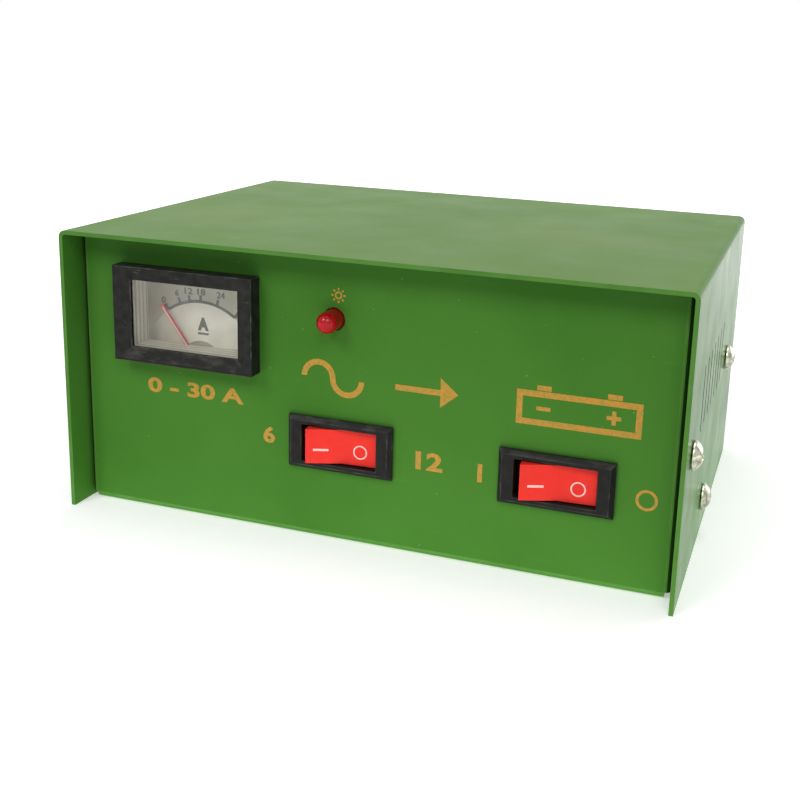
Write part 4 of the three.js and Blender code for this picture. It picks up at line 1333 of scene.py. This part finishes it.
    def sign(self, name: str, shape: Shape, x: float, z: float) -> None:
        """Prints a shape about a point of the panel."""
        Bench.piece(name, shape, AMBER_INK, place=Bench.print_place("chassis", x, z))


@dataclass(frozen=True)
class Mark:
    """A mark of the meter's scale and its figure.

    Attributes:
        angle: The mark's angle from upright, in degrees.
        text: The figure.
        x: The figure's place across, from the middle of the meter's frame.
        z: Its place upwards.
    """

    angle: float
    text: str
    x: float
    z: float


@dataclass(frozen=True)
class Ammeter:
    """The moving-coil meter: frame, pane, scale plate, pointer, movement and terminals.

    Attributes:
        pivot_x: The pivot's place across, from the middle of the frame.
        pivot_z: Its place upwards.
        arc: The radius of the scale's arc.
        line: The width of the arc and of its ticks.
        tick: The ticks' length.
        ink: How thick the ink lies.
        figure: The width of one figure and its height.
        pair: The width of two figures.
        unit: The width and height of the unit's letter.
        unit_place: Its middle, from the middle of the frame.
        underline: The width and height of the line under it.
        underline_drop: How far that line lies below the letter's middle.
        skirt: The thickness of the pale walls behind the pane.
        skirt_inset: How far inside the pane's rim they stand.
        plate: The inner and outer radius of the plate round the pivot.
        plate_rise: That plate's thickness.
        ridge: The width, length and thickness of the pale strip along the pointer's ridge, a painted
            highlight.
        ridge_start: Where the line starts, out from the pivot.
        ridge_x: How far to the right of the pointer's middle it lies.
        rest: The pointer's angle at rest, in degrees from upright.
    """

    pivot_x: float = 0.4 * MM
    pivot_z: float = -15.3 * MM
    arc: float = 18.6 * MM
    line: float = 0.88 * MM
    tick: float = 1.9 * MM
    ink: float = 0.03 * MM
    figure: tuple[float, float] = (1.3 * MM, 1.9 * MM)
    pair: float = 2.7 * MM
    unit: tuple[float, float] = (3.6 * MM, 4.0 * MM)
    unit_place: tuple[float, float] = (1.1 * MM, -3.3 * MM)
    underline: tuple[float, float] = (3.5 * MM, 0.6 * MM)
    underline_drop: float = 2.9 * MM
    skirt: float = 0.35 * MM
    skirt_inset: float = 1.25 * MM
    plate: tuple[float, float] = (3.2 * MM, 6.9 * MM)
    plate_rise: float = 0.35 * MM
    ridge: tuple[float, float, float] = (0.34 * MM, 17 * MM, 0.06 * MM)
    ridge_start: float = 2.9 * MM
    ridge_x: float = 0.1 * MM
    rest: float = 36
    marks: tuple[Mark, ...] = (
        Mark(-35, "0", -11.9 * MM, 2.7 * MM),
        Mark(-21, "6", -7.4 * MM, 5.2 * MM),
        Mark(-11, "12", -3.5 * MM, 6.1 * MM),
        Mark(0, "18", 0.7 * MM, 6.2 * MM),
        Mark(16.3, "24", 7.0 * MM, 5.8 * MM),
        Mark(36.3, "30", 13.4 * MM, 1.9 * MM),
    )

    def centre(self) -> Vector:
        """Gives the middle of the meter's frame on the scale plate's face."""
        mid = middle("meter_frame")
        return Vector((mid.x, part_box("meter_dial")[0].y, mid.z))

    def build(self) -> None:
        """Makes the meter's pieces."""
        # the frame's upward sloping faces get a painted highlight
        Bench.refined("meter_frame", FRAME_PLASTIC, 0.28 * MM, slopes=0.45)
        Bench.refined("meter_case", BLACK_PLASTIC, 0.3 * MM)
        Bench.refined("meter_window", CLEAR, 0.15 * MM)
        pivot = self.centre() + Vector((self.pivot_x, 0, self.pivot_z))
        plate = DialPlate("dial_silver", "dial_silver", tuple(pivot), self.arc)
        Bench.refined("meter_dial", plate, 0.1 * MM)
        self.scale(pivot)
        self.figures(pivot)
        self.inside(pivot)
        self.pointer(pivot)
        for node, finish in (("meter_bush", BRASS), ("meter_bracket", ALUMINIUM), ("meter_coil", COPPER)):
            Bench.refined(node, finish, 0.2 * MM)
        for side in ("left", "right"):
            Bench.refined("meter_stud_" + side, BRASS, 0.2 * MM)
            Bench.refined("meter_nut_" + side, BRASS, 0.25 * MM)

    def scale(self, pivot: Vector) -> None:
        """Prints the arc and its ticks.

        Args:
            pivot: The pointer's axis on the plate's face.
        """
        turn = (90 - self.marks[-1].angle, 90 - self.marks[0].angle)
        strokes = [band(self.arc - self.line / 2, self.arc + self.line / 2, self.ink, turn, 48)]
        for mark in self.marks:
            tick = slab((self.line, self.tick, self.ink), (0, self.arc + self.tick / 2, self.ink / 2))
            turned = Matrix.Rotation(math.radians(-mark.angle), 3, "Z")
            bmesh.ops.rotate(tick, matrix=turned, verts=tick.verts)
            strokes.append(tick)
        Bench.piece("dial_scale", merged(strokes), DIAL_INK, place=facing(pivot, -Axis.Y.value))

    def figures(self, pivot: Vector) -> None:
        """Prints the figures and the unit with its underline.

        Args:
            pivot: The pointer's axis on the plate's face.
        """
        shapes = []
        for mark in self.marks:
            width = self.figure[0] if len(mark.text) == 1 else self.pair
            shape = lettering(mark.text, width, self.figure[1], self.ink, 0.03)
            bmesh.ops.translate(shape, vec=self.from_pivot(mark.x, mark.z), verts=shape.verts)
            shapes.append(shape)
        unit = lettering("A", *self.unit, self.ink, 0.06)
        mid = self.from_pivot(*self.unit_place)
        bmesh.ops.translate(unit, vec=mid, verts=unit.verts)
        shapes.append(unit)
        shapes.append(slab((*self.underline, self.ink), mid - Vector((0, self.underline_drop, 0))))
        Bench.piece("dial_figures", merged(shapes), DIAL_INK, place=facing(pivot, -Axis.Y.value))

    def from_pivot(self, x: float, z: float) -> Vector:
        """Turns a place measured from the middle of the frame into one measured from the pivot."""
        return Vector((x - self.pivot_x, z - self.pivot_z, self.ink / 2))

    def inside(self, pivot: Vector) -> None:
        """Makes the pale walls behind the pane and the plate round the pointer's pivot.

        Args:
            pivot: The pointer's axis on the plate's face.
        """
        gap = edge = 0.1 * MM
        low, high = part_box("meter_window")
        front, back = high.y + gap, pivot.y - gap
        middle_y, deep = (front + back) / 2, back - front
        mid = (low + high) / 2
        width, height = high.x - low.x - 2 * self.skirt_inset, high.z - low.z - 2 * self.skirt_inset
        walls = []
        for side in (-1, 1):
            x = mid.x + side * (width / 2 - self.skirt / 2)
            z = mid.z + side * (height / 2 - self.skirt / 2)
            walls.append(slab((self.skirt, deep, height), (x, middle_y, mid.z), edge))
            walls.append(slab((width, deep, self.skirt), (mid.x, middle_y, z), edge))
        Bench.piece("meter_skirt", merged(walls), SKIRT_PLASTIC)
        ring = band(*self.plate, self.plate_rise, (0, 360), 48)
        soften(ring, sharp_edges(ring, 60), edge)
        Bench.piece("pivot_plate", ring, PIVOT_PLASTIC, place=facing(pivot, -Axis.Y.value))

    def pointer(self, pivot: Vector) -> None:
        """Makes the pointer and the pale strip along its ridge, a painted highlight.

        Args:
            pivot: The pointer's axis on the plate's face.
        """
        Bench.refined("meter_pointer", POINTER_RED, 0.08 * MM, Body.POINTER)
        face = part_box("meter_pointer")[0].y
        _, length, thickness = self.ridge
        # painted highlight: a pale strip along the pointer's ridge
        line = slab(self.ridge, (self.ridge_x, self.ridge_start + length / 2, thickness / 2))
        place = facing(Vector((pivot.x, face, pivot.z)), -Axis.Y.value, self.rest)
        Bench.piece("pointer_highlight_line", line, POINTER_HIGHLIGHT, Body.POINTER, place)


@dataclass(frozen=True)
class PilotLamp:
    """The red lamp: a domed lens pushed through the panel, and the clip behind it.

    Attributes:
        radius: The dome's radius.
        flange: The flange's radius.
        flange_depth: The flange's thickness.
    """

    radius: float = 3.0 * MM
    flange: float = 3.6 * MM
    flange_depth: float = 1.0 * MM

    def build(self) -> None:
        """Makes the lamp's pieces."""
        low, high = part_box("lamp_lens")
        mid = middle("lamp_lens")
        profile = rounded(self.radius, (90, 0), (0, high.y - low.y - self.radius), 14)
        profile += [(self.radius, self.flange_depth), (self.flange, self.flange_depth)]
        profile += [(self.flange, 0), (0, 0)]
        place = along(Axis.Y, Vector((mid.x, high.y, mid.z)), reverse=True)
        Bench.piece("made_lamp_lens", lathe(profile, 48), LAMP_RED, place=place, stands_for=["lamp_lens"])
        Bench.refined("lamp_clip", BLACK_PLASTIC, 0.2 * MM)


@dataclass(frozen=True)
class RockerSwitch:
    """A snap-in rocker switch.

    Attributes:
        name: The switch's name, as its nodes have it.
        body: The body of its rocker.
        blades: The number of its terminals.
        bar: The width and height of the mark for on.
        bar_x: Where that mark is, from the housing's middle.
        ring: The inner and outer radius of the mark for off.
        ring_x: Where that mark is, from the housing's middle.
        drop: How far both marks lie below the rocker's middle.
        ink: How thick the ink lies.
    """

    name: str
    body: Body
    blades: int
    bar: tuple[float, float] = (4.3 * MM, 0.65 * MM)
    bar_x: float = -4.9 * MM
    ring: tuple[float, float] = (1.65 * MM, 2.05 * MM)
    ring_x: float = 6.0 * MM
    drop: float = 1.0 * MM
    ink: float = 0.05 * MM

    def build(self) -> None:
        """Makes the switch's pieces."""
        # the housing's upward sloping faces get a painted highlight
        Bench.refined(self.name + "_housing", BLACK_PLASTIC, 0.22 * MM, slopes=0.7)
        Bench.refined(self.name + "_rocker", RED_PLASTIC, 0.35 * MM, self.body, segments=3)
        for i in range(self.blades):
            Bench.refined(f"{self.name}_terminal_{i + 1}", BRASS, 0.12 * MM)
        self.mark("bar", slab((*self.bar, self.ink), (0, 0, self.ink / 2)), self.bar_x)
        self.mark("ring", band(*self.ring, self.ink, (0, 360), 40), self.ring_x)

    def mark(self, kind: str, shape: Shape, x: float) -> None:
        """Prints a mark on the rocker.

        Args:
            kind: The mark's name.
            shape: Its shape.
            x: Its place across, from the housing's middle.
        """
        rocker = self.name + "_rocker"
        across, level = middle(self.name + "_housing").x + x, middle(rocker).z - self.drop
        place = Bench.print_place(rocker, across, level)
        Bench.piece(f"{self.name}_{kind}", shape, MARK_INK, self.body, place)


@dataclass(frozen=True)
class Transformer:
    """The transformer: laminated core, bobbin, two windings and the strap that clamps it down."""

    screw_head: float = 2.4 * MM

    def build(self) -> None:
        """Makes the transformer's pieces."""
        Bench.refined("transformer_core", LAMINATIONS, 0.3 * MM)
        Bench.refined("transformer_bobbin", BOBBIN_PLASTIC, 0.25 * MM)
        Bench.refined("primary_winding", COPPER, 0.8 * MM, segments=3)
        Bench.refined("secondary_winding", TAPE, 0.8 * MM, segments=3)
        Bench.refined("transformer_clamp", CLAMP_STEEL, 0.3 * MM)
        for side, turn in (("left", 25), ("right", -40)):
            PanScrew("transformer_screw_" + side, Axis.Z, False, turn, self.screw_head).build()


@dataclass(frozen=True)
class RectifierUnit:
    """The rectifier on its heat sink."""

    screw_head: float = 2.2 * MM
    foot_screw_head: float = 2.4 * MM

    def build(self) -> None:
        """Makes the unit's pieces."""
        Bench.refined("heat_sink", ALUMINIUM, 0.25 * MM)
        Bench.refined("rectifier", BLACK_PLASTIC, 0.3 * MM)
        Bench.refined("rectifier_nut", ZINC, 0.25 * MM)
        PanScrew("rectifier_screw", Axis.Y, True, 15, self.screw_head).build()
        for side, turn in (("left", 70), ("right", 5)):
            PanScrew("heat_sink_screw_" + side, Axis.Z, False, turn, self.foot_screw_head).build()


@dataclass(frozen=True)
class FuseHolder:
    """The fuse in its block: a glass tube with a metal cap on each end and a wire inside.

    Attributes:
        cap: The caps' length.
        rim: The bevel of the caps' ends.
        cap_end: The thickness of their ends.
        tube_start: How far in the tube starts.
        tube_inset: How much slimmer the tube is than the caps.
        wire: The wire's radius.
        wire_start: How far in the wire starts.
        screw_head: The height of the screw's head.
    """

    cap: float = 6.2 * MM
    rim: float = 0.3 * MM
    cap_end: float = 0.8 * MM
    tube_start: float = 1.0 * MM
    tube_inset: float = 0.35 * MM
    wire: float = 0.15 * MM
    wire_start: float = 1.2 * MM
    screw_head: float = 2.4 * MM

    def build(self) -> None:
        """Makes the fuse and its block."""
        Bench.refined("fuse_block", BLACK_PLASTIC, 0.3 * MM)
        PanScrew("fuse_screw", Axis.Z, False, 50, self.screw_head).build()
        low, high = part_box("fuse")
        radius, length = (high.z - low.z) / 2, high.x - low.x
        place = along(Axis.X, Vector((low.x, (low.y + high.y) / 2, (low.z + high.z) / 2)))
        tube = self.rod(radius - self.tube_inset, self.tube_start, length, 32)
        Bench.piece("fuse_tube", tube, GLASS, place=place, stands_for=["fuse"])
        caps = []
        for base, way in ((0.0, 1), (length, -1)):
            bevel, mouth, end = (base + way * reach for reach in (self.rim, self.cap, self.cap_end))
            inner = radius - self.rim
            outside = [(0, base), (inner, base), (radius, bevel), (radius, mouth)]
            caps.append(lathe([*outside, (inner, mouth), (inner, end), (0, end)], 32))
        Bench.piece("fuse_caps", merged(caps), ZINC, place=place)
        wire = self.rod(self.wire, self.wire_start, length, 12)
        Bench.piece("fuse_wire", wire, ZINC, place=place)

    @staticmethod
    def rod(radius: float, start: float, length: float, sides: int) -> Shape:
        """Makes a rod that stops short of both ends of a length by start."""
        return lathe([(0, start), (radius, start), (radius, length - start), (0, length - start)], sides)


@dataclass(frozen=True)
class Wiring:
    """The leads inside the case."""

    crease: float = 65

    def build(self) -> None:
        """Dresses each lead in its colour."""
        colours = {"primary": BLACK_LEAD, "lamp": BLACK_LEAD, "low_tap": BLUE_LEAD, "high_tap": BLUE_LEAD}
        colours |= {"common": BLUE_LEAD, "meter": RED_LEAD, "fuse": RED_LEAD}
        for name, finish in colours.items():
            node = name + "_lead"
            Bench.piece("made_" + node, Bench.copy_of(node), finish, stands_for=[node], crease=self.crease)


# ---- Studio --------------------------------------------------------------------------------------------


@dataclass(frozen=True)
class SoftLamp:
    """A soft square lamp that faces the charger.

    Attributes:
        name: The lamp's name.
        place: Where it hangs.
        size: The length of its side.
        power: Its power in watts.
        aim: The height of the point that it faces, above the middle of the charger's foot.
    """

    name: str
    place: tuple[float, float, float]
    size: float
    power: float
    aim: float = 40 * MM

    def build(self) -> None:
        """Hangs the lamp."""
        data = bpy.data.lights.new(self.name, "AREA")
        data.size = self.size
        data.energy = self.power
        made = bpy.data.objects.new(self.name, data)
        back = Vector(self.place) - Vector((0, 0, self.aim))
        turned = back.to_track_quat("Z", "Y").to_matrix().to_4x4()
        made.matrix_world = Matrix.Translation(self.place) @ turned
        bpy.context.scene.collection.objects.link(made)


@dataclass(frozen=True)
class Studio:
    """A white room: a pale floor, soft lamps and the camera.

    Attributes:
        eye: Where the camera stands.
        azimuth: How far to the right it stands, in degrees from straight in front.
        elevation: How steeply it looks down, in degrees.
        roll: How far it leans, in degrees.
        lens: Its focal length in millimetres.
        shift: How far its picture is shifted across and up.
        ambient: The strength of the room's light.
        white: The colour of the room.
        ground: The colour of the floor.
        ground_size: Half the length of the floor's side.
        near: Where the floor's glow is faint and where it is full, out from the charger's middle.
        glow: How strong it is at both places, to the eye and in reflections.
        foot: Where the light that the floor sends up at the charger's foot is full and where it ends.
        bounce: How strong that light is.
        lamps: The lamps.
    """

    eye: tuple[float, float, float] = (115.4 * MM, -336.1 * MM, 141.8 * MM)
    azimuth: float = 18.92
    elevation: float = 14.09
    roll: float = 1.73
    lens: float = 51.7
    shift: tuple[float, float] = (-0.0375, -0.1)
    ambient: float = 0.09
    white: Colour = rgb(255, 255, 255)
    ground: Colour = rgb(238, 238, 238)
    ground_size: float = 6.0
    near: tuple[float, float] = (0.2, 0.5)
    glow: tuple[float, float] = (0.4, 1.0)
    foot: tuple[float, float] = (0.1, 0.17)
    bounce: float = 1.2
    lamps: tuple[SoftLamp, ...] = (
        SoftLamp("left_lamp", (-0.4, -0.85, 0.85), size=0.45, power=4.9),
        SoftLamp("right_lamp", (0.4, -0.85, 0.85), size=0.45, power=3.3),
        SoftLamp("top_lamp", (0.05, 0.15, 1.1), size=0.8, power=7.0),
        SoftLamp("side_lamp", (0.85, 0.95, 0.25), size=0.8, power=6.0),
    )

    def build(self) -> None:
        """Makes the camera, the floor, the room's light and the lamps."""
        self.camera()
        self.floor()
        self.room()
        for lamp in self.lamps:
            lamp.build()
        bpy.context.scene.view_settings.view_transform = "Standard"

    def camera(self) -> None:
        """Makes the camera."""
        a, e = math.radians(self.azimuth), math.radians(self.elevation)
        ahead = Vector((-math.sin(a) * math.cos(e), math.cos(a) * math.cos(e), -math.sin(e)))
        right = ahead.cross(Axis.Z.value).normalized()
        level = Matrix((right, right.cross(ahead), -ahead)).transposed().to_4x4()
        lean = Matrix.Rotation(math.radians(self.roll), 4, "Z")
        data = bpy.data.cameras.new("camera")
        data.lens = self.lens
        data.shift_x, data.shift_y = self.shift
        data.clip_start = 0.01
        made = bpy.data.objects.new("camera", data)
        made.matrix_world = Matrix.Translation(self.eye) @ level @ lean
        bpy.context.scene.collection.objects.link(made)
        bpy.context.scene.camera = made

    def floor(self) -> None:
        """Makes the floor: matt and pale, and white to the eye where no shadow lies."""
        shape = bmesh.new()
        bmesh.ops.create_grid(shape, x_segments=1, y_segments=1, size=self.ground_size)
        mesh = bpy.data.meshes.new("floor")
        shape.to_mesh(mesh)
        shape.free()
        pale = bpy.data.materials.new("floor")
        graph = Graph(pale)
        matt = graph.node("ShaderNodeBsdfDiffuse", {"Color": self.ground})
        far = graph.node("ShaderNodeVectorMath", {0: graph.place}, operation="LENGTH").outputs["Value"]
        lift = graph.product(graph.seen(0.0, 1.0), graph.spread(far, *self.near, *self.glow))
        bounce = graph.product(graph.seen(1.0, 0.0), graph.spread(far, *self.foot, self.bounce, 0.0))
        glow = graph.node("ShaderNodeEmission", {"Strength": graph.sum("ADD", lift, bounce)})
        graph.show(graph.node("ShaderNodeAddShader", {0: matt.outputs[0], 1: glow.outputs[0]}))
        mesh.materials.append(pale)
        floor = bpy.data.objects.new("floor", mesh)
        bpy.context.scene.collection.objects.link(floor)

    def room(self) -> None:
        """Makes the room's even light, which is white to the eye and in reflections."""
        world = bpy.data.worlds.new("room")
        bpy.context.scene.world = world
        graph = Graph(world)
        light = {"Color": self.white, "Strength": graph.seen(self.ambient, 1.0)}
        graph.show(graph.node("ShaderNodeBackground", light))


def main() -> None:
    """Builds the charger and its studio."""
    logging.basicConfig(level=logging.INFO, format="%(name)s: %(message)s")
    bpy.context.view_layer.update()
    Studio().build()
    parts = [
        Cabinet(),
        PanelPrint(),
        Ammeter(),
        PilotLamp(),
        RockerSwitch("selector", Body.SELECTOR, blades=3),
        RockerSwitch("power", Body.POWER, blades=2),
        Transformer(),
        RectifierUnit(),
        FuseHolder(),
        Wiring(),
    ]
    for part in parts:
        LOG.info("building %s", type(part).__name__)
        part.build()


if __name__ == "__main__":
    main()
